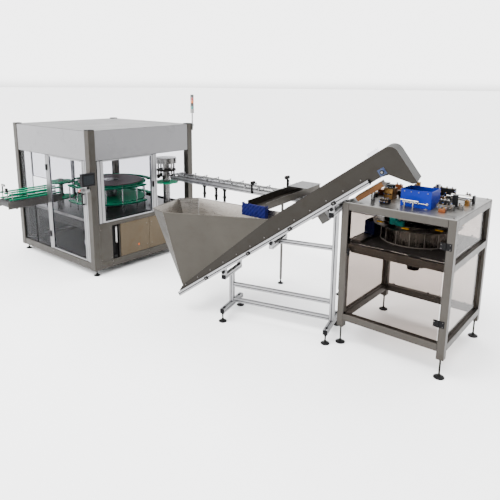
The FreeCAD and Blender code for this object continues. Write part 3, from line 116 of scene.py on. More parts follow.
def coated(name, colour, roughness, mottle=.5, grain=220, coat=0., worn=0., depth=.5, gloss=1.):
    """Paint, moulded plastic or rubber: an orange-peel skin, faint mottling and handling marks."""
    material, wire, place = new_finish(name)
    broad = wire.node("TexNoise", Vector=place, Scale=3.1, Detail=4.)
    fine = wire.node("TexNoise", Vector=place, Scale=float(grain), Detail=2.)
    dark = (*[c * (1 - .32 * mottle) * depth for c in colour], 1)
    light = (*[c * (1 + .16 * mottle) * depth + .001 for c in colour], 1)
    tone = mixed(wire, broad * 1.5 - .25 + (fine - .5) * .3, dark, light)
    if worn:
        marks = wire.node("TexNoise", Vector=place, Scale=17., Detail=6., Roughness=.7)
        tone = mixed(wire, wire.node("MapRange", Value=marks, From_Min=.6, From_Max=.72) * worn, tone,
            (.15, .135, .115, 1))
    bump = wire.node("Bump", Height=fine, Strength=.12, Distance=.0006)
    skin = wire.node("BsdfPrincipled", Base_Color=tone, Normal=bump, Coat_Weight=coat,
        Specular_IOR_Level=gloss * min(.5, .1 + 5 * max(colour) * depth), Coat_Roughness=.12,
        Roughness=(broad - .5) * .2 + (fine - .5) * .1 + roughness)
    wire.node("OutputMaterial", Surface=skin)
    return material


floor_paint = coated("studio_floor", (.86, .86, .86), .8, mottle=.03, grain=40, depth=1)
floor = bpy.data.objects.new("floor", bpy.data.meshes.new("floor"))
reach = 400
floor.data.from_pydata([(-reach, -reach, 0), (reach, -reach, 0), (reach, reach, 0), (-reach, reach, 0)], [],
    [(0, 1, 2, 3)])
floor.data.materials.append(floor_paint)
scene.collection.objects.link(floor)

sky = bpy.data.worlds.new("hall")
sky.use_nodes = True
sky.node_tree.nodes.clear()
air = Wire(sky.node_tree)
look = air.node("TexCoord", out="Generated")
height = air.node("SeparateXYZ", out=2, Vector=look)
east = air.node("SeparateXYZ", out=0, Vector=look)
hall = air.node("ValToRGB", {"stops": [(0, (.2, .2, .2)), (1, (.8, .8, .82)), (.49, (.5, .5, .5)),
    (.505, (2.3, 2.3, 2.3)), (.59, (2.3, 2.3, 2.3)), (.64, (.22, .22, .225)), (.8, (.4, .41, .43))]},
    Fac=height * .5 + .5)
power = air.node("MapRange", Value=east, From_Min=-.1, From_Max=.7, To_Min=2., To_Max=.7)
air.node("OutputWorld", Surface=air.node("Background", Color=hall, Strength=power))
scene.world = sky


def lamp_at(name, kind, place, target, energy, **others):
    lamp = bpy.data.lights.new(name, kind)
    lamp.energy = energy
    for key, value in others.items():
        setattr(lamp, key, value)
    made = bpy.data.objects.new(name, lamp)
    made.location = place
    made.rotation_euler = (Vector(place) - Vector(target)).to_track_quat("Z", "Y").to_euler()
    scene.collection.objects.link(made)


lamp_at("window_wall", "SUN", (-2, -7, 6.5), (0, 0, 0), 7.4, angle=radians(60))
lamp_at("ceiling", "SUN", (.5, .5, 8), (0, 0, 0), 6.2, angle=radians(120))
for number, (place, target, wide, long, power) in enumerate([((-1.5, -3.5, 6.5), (-1, 0, .8), 1.2, 7, 480),
        ((1.5, 4., 6.2), (0, 0, 1), 1.2, 8, 440)]):
    lamp_at("softbox_%d" % number, "AREA", place, target, power, shape="RECTANGLE", size=long, size_y=wide)


# ---- Posts and sills of the cell ----
# Square steel tube frame, ground and satin brushed, with pressed caps on the post ends. The posts
# carry the sills low down and the head rails behind the fascias, all welded and dressed flush.
def brushed(name, colour, roughness=.38, grain=(300, 300, 6), turn=(0, 0, 0), stain=.4, tint=(.5, .43, .35),
        depth=.5):
    """Bright or satin steel and aluminium: a brushed grain, broad smears and a faint stain."""
    material, wire, place = new_finish(name)
    along = wire.node("Mapping", Vector=place, Rotation=turn, Scale=grain)
    fine = wire.node("TexNoise", Vector=along, Scale=1., Detail=3.)
    broad = wire.node("TexNoise", Vector=place, Scale=1.9, Detail=4., Distortion=.6)
    marks = wire.node("TexNoise", Vector=place, Scale=9., Detail=5., Roughness=.65)
    colour = [c * depth for c in colour]
    dark, light = (*[c * .8 for c in colour], 1), (*[min(1, c * 1.14) for c in colour], 1)
    tone = mixed(wire, broad * .9 + fine * .5 - .2, dark, light)
    tone = mixed(wire, wire.node("MapRange", Value=marks, From_Min=.5, From_Max=.75) * stain, tone,
        (*[c * t * 1.5 for c, t in zip(colour, tint)], 1))
    bump = wire.node("Bump", Height=fine, Strength=.16, Distance=.0004)
    skin = wire.node("BsdfPrincipled", Base_Color=tone, Metallic=1., Normal=bump, Roughness=(fine - .5) * .3
        + (marks - .5) * .25 + roughness)
    wire.node("OutputMaterial", Surface=skin)
    return material


def solids_in(node):
    """The closed solids of one CAD node, each as its welded points and its faces."""
    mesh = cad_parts[node].data
    found, loose, places, faces = [], set(), {}, []
    for face in mesh.polygons:
        ring = [places.setdefault(tuple(round(c, 6) for c in mesh.vertices[v].co), len(places)) for v
            in face.vertices]
        if len(set(ring)) < 3:
            continue
        faces.append(ring)
        for a, b in zip(ring, ring[1:] + ring[:1]):
            loose ^= {(min(a, b), max(a, b))}
        if not loose:
            found.append((list(places), faces))
            places, faces = {}, []
    return found


UP, FRONT, SIDE = (0, 0, 1), (0, -1, 0), (1, 0, 0)


class Piece:
    """Parts gathered into one mesh, each with its own finish and with its edges broken."""

    def __init__(self, *finishes, place=Matrix()):
        self.mesh, self.finishes, self.place, self.taken = bmesh.new(), finishes, place, []

    def add(self, points, faces, finish=0, edge=.0015, steps=2, flat=True, local=True):
        solid = bmesh.new()
        verts = [solid.verts.new(self.place @ Vector(p) if local else p) for p in points]
        for face in faces:
            if not solid.faces.get([verts[v] for v in face]):
                solid.faces.new([verts[v] for v in face])
        bmesh.ops.recalc_face_normals(solid, faces=solid.faces)
        if flat:
            bmesh.ops.dissolve_limit(solid, angle_limit=.012, verts=solid.verts, edges=solid.edges)
        corners = [e for e in solid.edges if e.calc_face_angle(0) > radians(28)]
        if edge and corners:
            bmesh.ops.bevel(solid, geom=corners, offset=edge, segments=steps, profile=.6, affect="EDGES",
                clamp_overlap=True)
        for face in solid.faces:
            face.material_index, face.smooth = finish, True
        for e in solid.edges:
            e.smooth = e.calc_face_angle(0) < radians(48)
        part = bpy.data.meshes.new("part")
        solid.to_mesh(part)
        self.mesh.from_mesh(part)
        bpy.data.meshes.remove(part)
        solid.free()
        return self

    def node(self, name, finish=0, edge=.0015, **others):
        """Takes a CAD node's solids in: finish is a number, a row whose last one repeats, or a rule."""
        self.taken.append(name)
        for number, (points, faces) in enumerate(solids_in(name)):
            low, high = [[f(p[k] for p in points) for k in range(3)] for f in (min, max)]
            row = finish if isinstance(finish, tuple) else (finish,)
            look = row[min(number, len(row) - 1)]
            if callable(finish):
                look = finish(number, Vector(high) - Vector(low))
            if look is not None:
                self.add(points, faces, look, edge, local=False, **others)
        return self

    def block(self, low, high, finish=0, edge=.0015, **others):
        points = [(x, y, z) for x in (low[0], high[0]) for y in (low[1], high[1]) for z in (low[2], high[2])]
        faces = [(0, 1, 3, 2), (4, 6, 7, 5), (0, 4, 5, 1), (2, 3, 7, 6), (0, 2, 6, 4), (1, 5, 7, 3)]
        return self.add(points, faces, finish, edge, **others)

    def prism(self, outline, axis, start, end, finish=0, edge=.0008, **others):
        """An outline in the plane across an axis (0 X, 1 Y, 2 Z), run from start to end."""
        def point(u, v, w):
            return {0: (w, u, v), 1: (u, w, v), 2: (u, v, w)}[axis]
        n = len(outline)
        points = [point(u, v, w) for w in (start, end) for u, v in outline]
        faces = [tuple(range(n)), tuple(range(n, 2 * n))] + [(k, (k + 1) % n, n + (k + 1) % n, n + k) for k
            in range(n)]
        return self.add(points, faces, finish, edge, **others)

    def turned(self, base, way, profile, finish=0, sides=28, edge=0, **others):
        """A turned part: radius and height pairs about an axis from base along way."""
        turn = Vector(UP).rotation_difference(Vector(way)).to_matrix()
        points, faces = [], []
        for radius, up in profile:
            points += [Vector(base) + turn @ Vector((radius * cos(2 * pi * k / sides), radius
                * sin(2 * pi * k / sides), up)) for k in range(sides)]
        for row in range(len(profile) - 1):
            faces += [(row * sides + k, row * sides + (k + 1) % sides, (row + 1) * sides + (k + 1) % sides,
                (row + 1) * sides + k) for k in range(sides)]
        faces += [tuple(range(sides)), tuple(range((len(profile) - 1) * sides, len(profile) * sides))]
        return self.add(points, faces, finish, edge, flat=False, **others)

    def rod(self, start, end, radius, finish=0, sides=20, soft=.15, **others):
        start, end = Vector(start), Vector(end)
        long, nose = (end - start).length, radius * soft
        return self.turned(start, end - start, [(radius - nose, 0), (radius - nose * .3, nose * .3),
            (radius, nose), (radius, long - nose), (radius - nose * .3, long - nose * .3),
            (radius - nose, long)], finish, sides, **others)

    def screw(self, at, way, radius=.006, finish=0):
        """A cap-head screw with its socket."""
        way = Vector(way).normalized()
        return self.turned(at, way, [(radius * .9, 0), (radius, radius * .15), (radius, radius * .75),
            (radius * .86, radius), (radius * .5, radius), (radius * .46, radius * .45)], finish, sides=12)

    def screws(self, xs, ys, zs, way, radius, finish):
        """Cap-head screws at every crossing of the given places."""
        for at in product(xs, ys, zs):
            self.screw(at, way, radius, finish)

    def done(self, name, slot, *nodes, body="frame"):
        data = bpy.data.meshes.new(name)
        self.mesh.to_mesh(data)
        self.mesh.free()
        for finish in self.finishes:
            data.materials.append(finish)
        made = bpy.data.objects.new(name, data)
        scene.collection.objects.link(made)
        even = made.modifiers.new("even_normals", "WEIGHTED_NORMAL")
        even.keep_sharp, even.weight = True, 60
        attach(made, body)
        if self.taken or nodes:
            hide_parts(*self.taken, *nodes)
        return made


post_steel = brushed("satin_post_steel", (.1, .093, .083), .42, grain=(260, 260, 5))
cap_black = coated("black_end_cap", (.006, .006, .007), .5, gloss=.5)
screw_steel = brushed("screw_steel", (.3, .29, .28), .3, grain=(90, 90, 90), stain=.2)
posts = Piece(post_steel, cap_black, screw_steel)
posts.node("cell_frame", lambda number, size: 1 if size.z < .02 else 0, edge=.004, steps=3)
sill_low, sill_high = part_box("cell_frame")
posts.screws((-2.95, -2.3, -1.65), (sill_low.y + .0065,), (.115, .165), FRONT, .007, 2)
posts.screws((sill_high.x - .0065,), (-.35, .3, .95), (.115, .165), SIDE, .007, 2)
posts.done("cell_posts_and_sills", "satin_steel")


# ---- Fascias and roof ----
# Folded sheet boxes hung between the post tops, powder coated pale grey, with a screwed flange.
# The roof is four trays side by side, so that three fine joints run from front to back.
fascia_grey = coated("pale_grey_fascia", (.2, .198, .208), .3, mottle=.3, coat=.25)
roof_grey = coated("roof_grey", (.115, .114, .116), .42)
seam_dark = coated("joint_seal", (.05, .05, .052), .6)
fascias = Piece(fascia_grey, screw_steel, seam_dark).node("cell_fascias", 0, edge=.004, steps=3)
low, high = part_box("cell_fascias")
mid = (low + high) / 2
rows = (low.z + .022, high.z - .03)
fascias.screws((low.x + .12, mid.x, high.x - .12), (low.y + .0035,), rows, FRONT, .0055, 1)
fascias.screws((high.x - .0035,), (low.y + .12, mid.y, high.y - .12), rows, SIDE, .0055, 1)
fascias.block((low.x + .1, low.y + .004, low.z - .004), (high.x - .1, low.y + .018, low.z), 2, .001)
fascias.block((high.x - .018, low.y + .1, low.z - .004), (high.x - .004, high.y - .1, low.z), 2, .001)
fascias.done("cell_fascia_panels", "grey_sheet")
roof = Piece(roof_grey, screw_steel).node("cell_roof", 0, edge=.0022)
low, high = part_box("cell_roof")
tray_wide = .453
seams = [low.x + .092 + tray_wide * tray + x for tray in range(4) for x in (.06, .39)]
roof.screws(seams, (low.y + .06, high.y - .06), (high.z - .0028,), UP, .005, 1)
roof.done("cell_roof_trays", "grey_sheet")


# ---- Mullions, fixed panes and the two guard doors ----
# Slotted aluminium profile, clear anodised, with black caps pressed in the ends. Clear sheet is held
# in the slots by a thin seal; the doors hang on black hinges and shut on small black catches.
def boxes_in(node, place=Matrix()):
    """Lowest corner, highest corner and middle of each solid of a CAD node, seen from a place."""
    back = place.inverted()
    found = []
    for points, faces in solids_in(node):
        seen = [back @ Vector(p) for p in points]
        low, high = [Vector([f(p[k] for p in seen) for k in range(3)]) for f in (min, max)]
        found.append((low, high, (low + high) / 2))
    return found


def profile(piece, low, high, slot=.009, deep=.008, cap_ends=True):
    """One length of slotted profile along the box's longest side, with its two end caps."""
    size = high - low
    axis = max(range(3), key=lambda k: size[k])
    u, v = [k for k in range(3) if k != axis]
    corners = [Vector((low[u], low[v])), Vector((high[u], low[v])), Vector((high[u], high[v])),
        Vector((low[u], high[v]))]
    outline, seals, slotted = [], [], .027
    for first, second in zip(corners, corners[1:] + corners[:1]):
        along = (second - first).normalized()
        inward, middle = Vector((-along.y, along.x)) * deep, (first + second) / 2
        outline.append(first)
        if (second - first).length > slotted:
            half = along * slot / 2
            outline += [middle - half, middle - half + inward, middle + half + inward, middle + half]
            seals.append([middle - half + inward, middle + half + inward, middle + half + inward * .3, middle
                - half + inward * .3])
    end = .004 if cap_ends else 0
    piece.prism([tuple(p) for p in outline], axis, low[axis] + end, high[axis] - end)
    for seal in seals:
        piece.prism([tuple(p) for p in seal], axis, low[axis] + end, high[axis] - end, 1, 0)
    if cap_ends:
        for place in (low[axis], high[axis] - end):
            a, b = Vector(low), Vector(high)
            a[axis], b[axis] = place, place + end
            piece.block(a, b, 1, .001)


def clear(name, tint=(.9, .93, .93), sheen=.004):
    """Clear polycarbonate or acrylic: mostly seen through, with a wiped, slightly smeared gloss."""
    material, wire, place = new_finish(name)
    smear = wire.node("TexNoise", Vector=place, Scale=2.6, Detail=5., Roughness=.6, Distortion=1.2)
    through = wire.node("BsdfTransparent", Color=(*tint, 1))
    gloss = wire.node("BsdfPrincipled", Base_Color=(.9, .91, .92, 1), Metallic=1., Roughness=smear * .1 + .04)
    facing = wire.node("LayerWeight", out=1, Blend=.5)
    shine = facing.math("POWER", facing, 5.) * .4 + (smear - .45) * sheen
    wire.node("OutputMaterial", Surface=wire.node("MixShader", _0=shine, _1=through, _2=gloss))
    return material


anodised = brushed("clear_anodised_profile", (.5, .5, .51), .34, grain=(300, 300, 9), stain=.12)
guard_clear = clear("guard_polycarbonate", (.84, .84, .86), .002)
door_clear = clear("door_polycarbonate", (.84, .84, .86), .002)
black_fitting = coated("black_nylon_fitting", (.006, .006, .0065), .45, gloss=.5)
seal_black = coated("pane_seal", (.012, .012, .012), .6, gloss=.5)

mullions = Piece(anodised, cap_black, black_fitting, post_steel)
for number, (low, high, mid) in enumerate(boxes_in("cell_mullions")):
    if number != 5:
        profile(mullions, low, high)
mullions.node("cell_mullions", (None,) * 5 + (3, None), edge=.003)
mullions.done("cell_mullion_profiles", "aluminium_profile")
panes = Piece(guard_clear, seal_black).node("cell_panes", 0, edge=.001)
for low, high, mid in boxes_in("cell_panes"):
    thin = min(range(3), key=lambda k: (high - low)[k])
    for k in range(3):
        if k != thin:
            for at in (low[k], high[k] - .007):
                a, b = Vector(low), Vector(high)
                a[k], b[k] = at, at + .007
                a[thin], b[thin] = low[thin] - .0012, high[thin] + .0012
                panes.block(a, b, 1, .0006)
panes.done("cell_guard_panes", "clear_guard")

doors = {"front_door": ((0, 1), (2, 3), 4, (5, 6), 7), "side_door": ((0, 1), (2, 3), 4, (), 5)}
for door, (stiles, rails, pane, lugs, pull) in doors.items():
    hung = Piece(anodised, cap_black, door_clear, black_fitting, screw_steel)
    parts = boxes_in(door)
    for number in stiles:
        profile(hung, *parts[number][:2])
    for number in rails:
        profile(hung, *parts[number][:2], slot=.005, deep=.004, cap_ends=False)
    hung.node(door, lambda number, size: 2 if number == pane else 3 if number in lugs or number == pull
        else None, edge=.003, steps=3)
    low, high, mid = parts[pull]
    out = FRONT if door == "front_door" else SIDE
    for z in (low.z + .014, high.z - .014):
        at = (mid.x, low.y + .0025, z) if door == "front_door" else (high.x - .0025, mid.y, z)
        hung.screw(at, out, .0045, 4)
    hung.done(door + "_leaf", "aluminium_profile", body=door)
catches = Piece(black_fitting, screw_steel)
for z in (.42, 1.42):
    at = Vector((-2.348, -.6445, z))
    catches.block(at + Vector((-.02, -.012, -.045)), at + Vector((.02, .002, .045)), 0, .003, steps=3)
    for up in (-.028, .028):
        catches.screw(at + Vector((-.008, -.0095, up)), FRONT, .004, 1)
catches.done("front_door_hinges", "aluminium_profile")

# ---- Lower cabinet and its doors ----
# Stainless sheet panels whose gold cast is a painted reflection of the hall floor; two doors with hemmed
# edges, turned quarter locks with painted shade in their key slots, and between post and door a recess
# painted near black as painted shade, with the white pull bar of the main switch.
# The tan base colour stands for the hall floor reflected in the stainless: a painted reflection.
cabinet_floor_reflection_steel = brushed("cabinet_stainless_painted_floor_reflection", (.135, .107, .073), .34, grain=(9, 260, 260), stain=.3,
    tint=(.6, .42, .26))
inner_steel = coated("inner_dark_steel", (.026, .024, .022), .5, mottle=.9, gloss=.3)
white_bar = coated("white_pull_bar", (.6, .6, .59), .35, mottle=.2, coat=.3)
# Near black for the recess beside the door and for the lock key slots: painted shade.
recess_painted_shade = coated("recess_painted_shade", (.018, .018, .018), .5, gloss=.5)
cabinet = Piece(post_steel, recess_painted_shade, white_bar, inner_steel, screw_steel)
cabinet.node("cell_cabinet", (0, 1, 0, 0, 2, 1, 3), edge=.003, steps=3)
low, high, mid = boxes_in("cell_cabinet")[4]
for z in (low.z - .004, high.z - .012):
    cabinet.rod((mid.x, mid.y, z), (mid.x, mid.y, z + .016), .0165, 4)
low, high, mid = boxes_in("cell_cabinet")[0]
cabinet.screws((high.x - .003,), (low.y + .02, high.y - .02), (low.z + .03, high.z - .03), SIDE, .005, 4)
cabinet.done("cell_cabinet_panels", "brushed_sheet")
plug_orange = coated("plug_orange", (.7, .12, .02), .45, gloss=.3)
lock_steel = brushed("lock_chrome", (.72, .71, .7), .2, grain=(60, 60, 60), stain=.1)
for leaf, lock_side in (("cabinet_door_left", 0), ("cabinet_door_right", 1)):
    panel = Piece(cabinet_floor_reflection_steel, screw_steel, lock_steel, recess_painted_shade, plug_orange).node(leaf, 0, edge=.0035,
        steps=3)
    low, high, mid = boxes_in(leaf)[0]
    for z in (low.z + .08, high.z - .08):
        y = (high.y - .045) if lock_side == 0 else (low.y + .045)
        panel.turned((high.x - .0012, y, z), SIDE, [(.007, 0), (.007, .0014), (.006, .0022), (.004, .0022),
            (.0035, .001)], 1, sides=24)
        # The key slot is a small near-black block: painted shade.
        panel.block((high.x - .001, y - .0012, z - .003), (high.x + .0006, y + .0012, z + .003), 3, .0003)
    if lock_side == 0:
        panel.turned((high.x - .001, mid.y + .06, low.z + .11), SIDE,
            [(.016, 0), (.016, .0015), (.012, .003)], 4, sides=28)
    panel.done(leaf + "_panel", "brushed_sheet", body=leaf)

# ---- Machine table, feet and drives ----
# A thick ground plate on deep channels, over a dark pan. The cell stands on rubber-footed screws.
# Under the table sit the tan helical gearmotor and the white and red air service unit.
plate_steel = brushed("table_plate_steel", (.25, .24, .23), .34, grain=(6, 240, 240), stain=.3)
table = Piece(plate_steel, inner_steel)
table.node("cell_table", (0, 1), edge=.003)
table.done("cell_table_and_beams", "satin_steel")


def levelling_feet(piece, node, rubber=0, thread=1):
    """Each foot in a CAD node: a dished rubber pad, a threaded spindle and its lock nut."""
    boxes = boxes_in(node)
    for low, high, mid in boxes:
        if low.z > .001:
            continue
        x, y, radius = mid.x, mid.y, (high.x - low.x) / 2
        h, near, pitch = high.z, .004, .0045
        start, end, _ = [b for b in boxes if abs(b[0].z - h) < near / 2 and abs(b[2].x - x) < near
            and abs(b[2].y - y) < near][0]
        top, wire = end.z, (end.x - start.x) / 2
        piece.turned((x, y, 0), UP, [(radius * .93, 0), (radius, h * .12), (radius, h * .34),
            (radius * .93, h * .5), (radius * .6, h * .72), (radius * .34, h * .8), (radius * .3, h),
            (radius * .2, h)], rubber, sides=36)
        turns = int((top - h) / pitch)
        rings = [(wire * (1 if k % 2 else .84), (top - h) * k / (2 * turns)) for k in range(2 * turns + 1)]
        piece.turned((x, y, h), UP, rings, thread, sides=16)
        for level in (top - .016, h + .001):
            piece.turned((x, y, level), UP, [(wire * 1.55, 0), (wire * 1.75, .002), (wire * 1.75, .010),
                (wire * 1.55, .012)], thread, sides=6)


rubber_black = coated("foot_rubber", (.005, .005, .0055), .55, mottle=.8, grain=120)
thread_steel = brushed("thread_steel", (.035, .033, .03), .45, grain=(60, 60, 400), stain=.3)
feet = Piece(rubber_black, thread_steel)
levelling_feet(feet, "cell_feet")
feet.done("cell_levelling_feet", "black_feet", "cell_feet")

motor_tan = coated("gearmotor_tan", (.3, .19, .1), .4, mottle=.6, coat=.1, worn=.4)
gearmotor = Piece(motor_tan, thread_steel, black_fitting).node("main_gearmotor", 0, edge=.006, steps=3)
low, high, mid = boxes_in("main_gearmotor")[1]
for fin in range(11):
    y = low.y + .018 + fin * .0172
    gearmotor.turned((mid.x, y, mid.z), (0, 1, 0), [(.062, 0), (.0735, .0006), (.0735, .0042), (.062, .0048)],
        0, sides=40)
gearmotor.block((high.x - .02, low.y + .06, high.z - .03), (high.x + .028, low.y + .15, high.z + .012), 2,
    .006, steps=3)
gearmotor.done("main_gearmotor_body", "tan_paint")

air_white = coated("air_unit_white", (.5, .5, .49), .38, mottle=.3, coat=.2)
air_red = coated("air_unit_red", (.5, .03, .025), .35, mottle=.4, coat=.3)
bowl_clear = clear("filter_bowl_clear", (.8, .82, .84), .08)
air_unit = Piece(air_white, air_red, bowl_clear, black_fitting, screw_steel)
air_unit.node("air_unit", (3, 0, 0, 0, 1, 3, 2, 0, 4), edge=.004, steps=3)
low, high, mid = boxes_in("air_unit")[8]
for x in (-.02, .02):
    air_unit.turned((mid.x + x, low.y + .004, mid.z), FRONT, [(.0085, 0), (.0085, .008), (.006, .01),
        (.006, .018), (.0035, .018)], 4, sides=18)
air_unit.done("air_service_unit", "white_plastic")

# ---- Turret, guide rings and stars ----
# Machined slabs of green polyethylene, two storeys of them: a pocketed turret under a grey-pink
# cover disc, sickle guides round it on bright stand-offs, and a small infeed star beside it.
green_slab = coated("green_polyethylene", (.001, .4, .19), .5, grain=60, gloss=.05)
# The upright sides of the green slabs get this much darker green: painted shade.
green_shaded_side = coated("green_side_painted_shade", (.001, .12, .065), .6, mottle=.6, grain=140, gloss=.05)
disc_pink = coated("turret_cover_disc", (.3, .235, .24), .5, gloss=.15)
hub_steel = brushed("hub_steel", (.27, .265, .26), .28, grain=(80, 80, 300), stain=.2)
bright_rod = brushed("bright_rod", (.5, .49, .48), .2, grain=(200, 200, 20), stain=.1)


def slabs(piece, node, look):
    """Green slabs whose upright sides are painted far darker than their flat faces, as painted shade."""
    first = len(piece.mesh.faces)
    piece.node(node, look, edge=.0025, steps=2)
    piece.mesh.faces.ensure_lookup_table()
    for face in piece.mesh.faces[first:]:
        # Faces that stand upright take the darker green: painted shade on the sides.
        if face.material_index == 0 and abs(face.normal.z) < .3:
            face.material_index = 1


turret = Piece(green_slab, green_shaded_side, disc_pink, hub_steel, screw_steel)
slabs(turret, "turret", (0, 0, 2, 3))
low, high, mid = boxes_in("turret")[2]
for k in range(8):
    turn = 2 * pi * k / 8 + .2
    turret.screw((mid.x + .17 * cos(turn), mid.y + .17 * sin(turn), high.z - .001), UP, .008, 4)
turret.turned((mid.x, mid.y, high.z - .002), UP, [(.13, 0), (.13, .004), (.125, .006), (.06, .006), (.06, 0)],
    3, sides=48)
turret.done("turret_star_wheels", "green_plastic", body="turret")
rings = Piece(green_slab, green_shaded_side)
slabs(rings, "guide_rings", 0)
rings.done("sickle_guide_rings", "green_plastic")
standoffs = Piece(bright_rod, screw_steel).node("guide_standoffs", 0, flat=False)
for low, high, mid in boxes_in("guide_standoffs"):
    if high.z > 1.07:
        standoffs.screw((mid.x, mid.y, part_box("guide_rings")[1].z - .0015), UP, .009, 1)
standoffs.done("guide_ring_standoffs", "chrome_rod")
star = Piece(green_slab, green_shaded_side, hub_steel, screw_steel)
slabs(star, "infeed_star", (0, 0, 2))
low, high, mid = boxes_in("infeed_star")[0]
for k in range(6):
    star.screw((mid.x + .07 * cos(k * pi / 3), mid.y + .07 * sin(k * pi / 3), high.z - .001), UP, .007, 3)
star.done("infeed_star_wheels", "green_plastic", body="infeed_star")
heads = Piece(hub_steel, green_slab, inner_steel, bright_rod)
heads.node("capping_turret", (1, 0, 0, 2) + (3, 2) * 6, edge=.003)
heads.done("capping_heads", "chrome_rod", body="capping_turret")

# ---- Operator screen and stop button ----
# A dark moulded operator terminal with a recessed dim display, on a swivelling folded arm that is
# bolted to the near post; a red mushroom button sits in a block on the arm, under the screen.
screen_case = coated("terminal_case_grey", (.014, .014, .016), .5, mottle=.6, grain=320, gloss=.4)
display, wire, place = new_finish("terminal_display")
cells = wire.node("TexBrick", {"offset": 0.}, out=1, Scale=1., Mortar_Size=.0016, Brick_Width=.036,
    Row_Height=.024, Vector=wire.node("Mapping", Vector=place, Rotation=(0, radians(90), radians(90))))
glow = mixed(wire, cells, (.009, .011, .013, 1), (.003, .004, .005, 1))
wire.node("OutputMaterial", Surface=wire.node("BsdfPrincipled", Base_Color=glow, Roughness=cells * .1 + .3,
    Specular_IOR_Level=.1))
terminal = Piece(screen_case, display, black_fitting).node("hmi_box", (0, 1), edge=.004, steps=3)
low, high, mid = boxes_in("hmi_box")[1]
for a, b in (((low.y - .01, low.z - .01), (high.y + .01, low.z)),
        ((low.y - .01, high.z), (high.y + .01, high.z + .01)), ((low.y - .01, low.z), (low.y, high.z)),
        ((high.y, low.z), (high.y + .01, high.z))):
    terminal.block((high.x - .002, *a), (high.x + .001, *b), 2, .001)
case_low, case_high, mid = boxes_in("hmi_box")[0]
for slot in range(9):
    z = case_low.z + .03 + slot * .012
    terminal.block((case_low.x + .008, case_low.y - .0003, z),
        (case_low.x + .03, case_low.y + .0008, z + .005), 2, .0003)
terminal.done("operator_terminal", "black_plastic", body="hmi_box")
arm_grey = coated("arm_grey_paint", (.2, .2, .2), .38, mottle=.4)
arm = Piece(arm_grey, black_fitting, screw_steel).node("hmi_arm", (0, 0, 1, 0), edge=.003, steps=3)
low, high, mid = boxes_in("hmi_arm")[3]
arm.screws((low.x + .006, high.x - .006), (low.y + .0015,), (low.z + .006, high.z - .006), FRONT, .003, 2)
arm.done("operator_arm", "grey_sheet")
stop_red = coated("stop_button_red", (.55, .012, .01), .28, mottle=.2, coat=.5)
Piece(stop_red, screw_steel).node("e_stop", 0, edge=0).done("stop_button", "red_plastic", body="e_stop")

# ---- Signal tower ----
# A pole bracketed to the far post with a grey foot and five stacked lens rings: teal, smoke, amber
# and red under a smoke cap, each a ribbed moulding.
lens_colours = {"lens_teal": (.005, .22, .2), "lens_smoke": (.03, .03, .032), "lens_amber": (.75, .16, .01),
    "lens_red": (.42, .012, .01)}
lenses = [coated(name, colour, .22, mottle=.3, coat=.6) for name, colour in lens_colours.items()]
tower_grey = coated("tower_foot_grey", (.4, .4, .39), .4, mottle=.3)
tower = Piece(anodised, tower_grey, *lenses)
looks = (0, 1, 0, 1, 2, 3, 4, 5, 3)
tower.node("signal_tower", looks[:4] + (None,), edge=.003, steps=3)
for number, (low, high, mid) in enumerate(boxes_in("signal_tower")):
    if number > 3:
        radius, tall = (high.x - low.x) / 2, high.z - low.z
        rings = [(radius * .9, 0)]
        for rib in range(9):
            rings += [(radius, tall * (rib + .6) / 10), (radius * .955, tall * (rib + 1.1) / 10)]
        tower.turned((mid.x, mid.y, low.z), UP, rings + [(radius, tall * .98), (radius * .85, tall)],
            looks[number], sides=36)
tower.done("signal_lamp_tower", "aluminium_profile")

# ---- Bottle conveyor ----
# Two lanes of acetal slat chain between stainless side plates, running over a grooved drum, with
# three pairs of green guide rails on posts, and the grey sensor post at the outer end.
chain_dark = coated("slat_chain_acetal", (.06, .06, .062), .45, mottle=.7, grain=90, gloss=.3)
side_plate = brushed("conveyor_side_plate", (.2, .19, .18), .36, grain=(240, 6, 240), stain=.3)
conveyor = Piece(side_plate, inner_steel, screw_steel)
conveyor.node("infeed_frame", (0, 0, 1))
low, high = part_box("infeed_frame")
along = [low.y + .06 + .14 * k for k in range(6)]
for x, way in ((low.x + .0022, -1), (high.x - .0022, 1)):
    conveyor.screws((x,), along, (high.z - .02, high.z - .085), (way, 0, 0), .0055, 2)
conveyor.done("bottle_conveyor_frame", "brushed_sheet")
chain = Piece(chain_dark).node("infeed_belt", 0, edge=.001, flat=False)
slat_pitch = .0381


def slats(piece, axis, start, count, near, far, top, tongue, gap, thick, edge):
    """A row of chain slats along X (0) or Y (1), each with a tongue that reaches for the next one."""
    half = (near + far) / 2
    for k in range(count):
        at = start + k * slat_pitch
        shoulder, tip = at + slat_pitch - .0035, at + slat_pitch - gap
        outline = [(at, near), (shoulder, near), (tip, half - tongue), (tip, half + tongue), (shoulder, far),
            (at, far)]
        piece.prism([p if axis == 0 else p[::-1] for p in outline], 2, top - .0005, top + thick, 0, edge)


guides = boxes_in("infeed_guides")
low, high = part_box("infeed_belt")
count = int((high.y - low.y - .08) / slat_pitch)
for left, right in ((0, 2), (2, 4)):
    slats(chain, 1, low.y + .04, count, guides[left][1].x + .003, guides[right][0].x - .003, high.z, .013,
        .001, .0035, .0008)
chain.done("bottle_slat_chain", "dark_chain")
Piece(black_fitting, bright_rod).node("infeed_drum", 0, edge=.002).done("bottle_chain_drum", "black_plastic",
    body="infeed_drum")
lane_rails = Piece(green_slab, green_shaded_side, bright_rod, screw_steel)
slabs(lane_rails, "infeed_guides", (0,) * 6 + (2,))
for low, high, mid in guides[6:15]:
    lane_rails.screw((mid.x, mid.y, guides[1][1].z - .001), UP, .006, 3)
lane_rails.done("bottle_lane_guides", "green_plastic")
sensor_grey = coated("sensor_grey", (.28, .28, .28), .4, mottle=.4)
sensor = Piece(sensor_grey, black_fitting, screw_steel)
sensor.node("infeed_sensor", (2, 0, 1), edge=.003, steps=3)
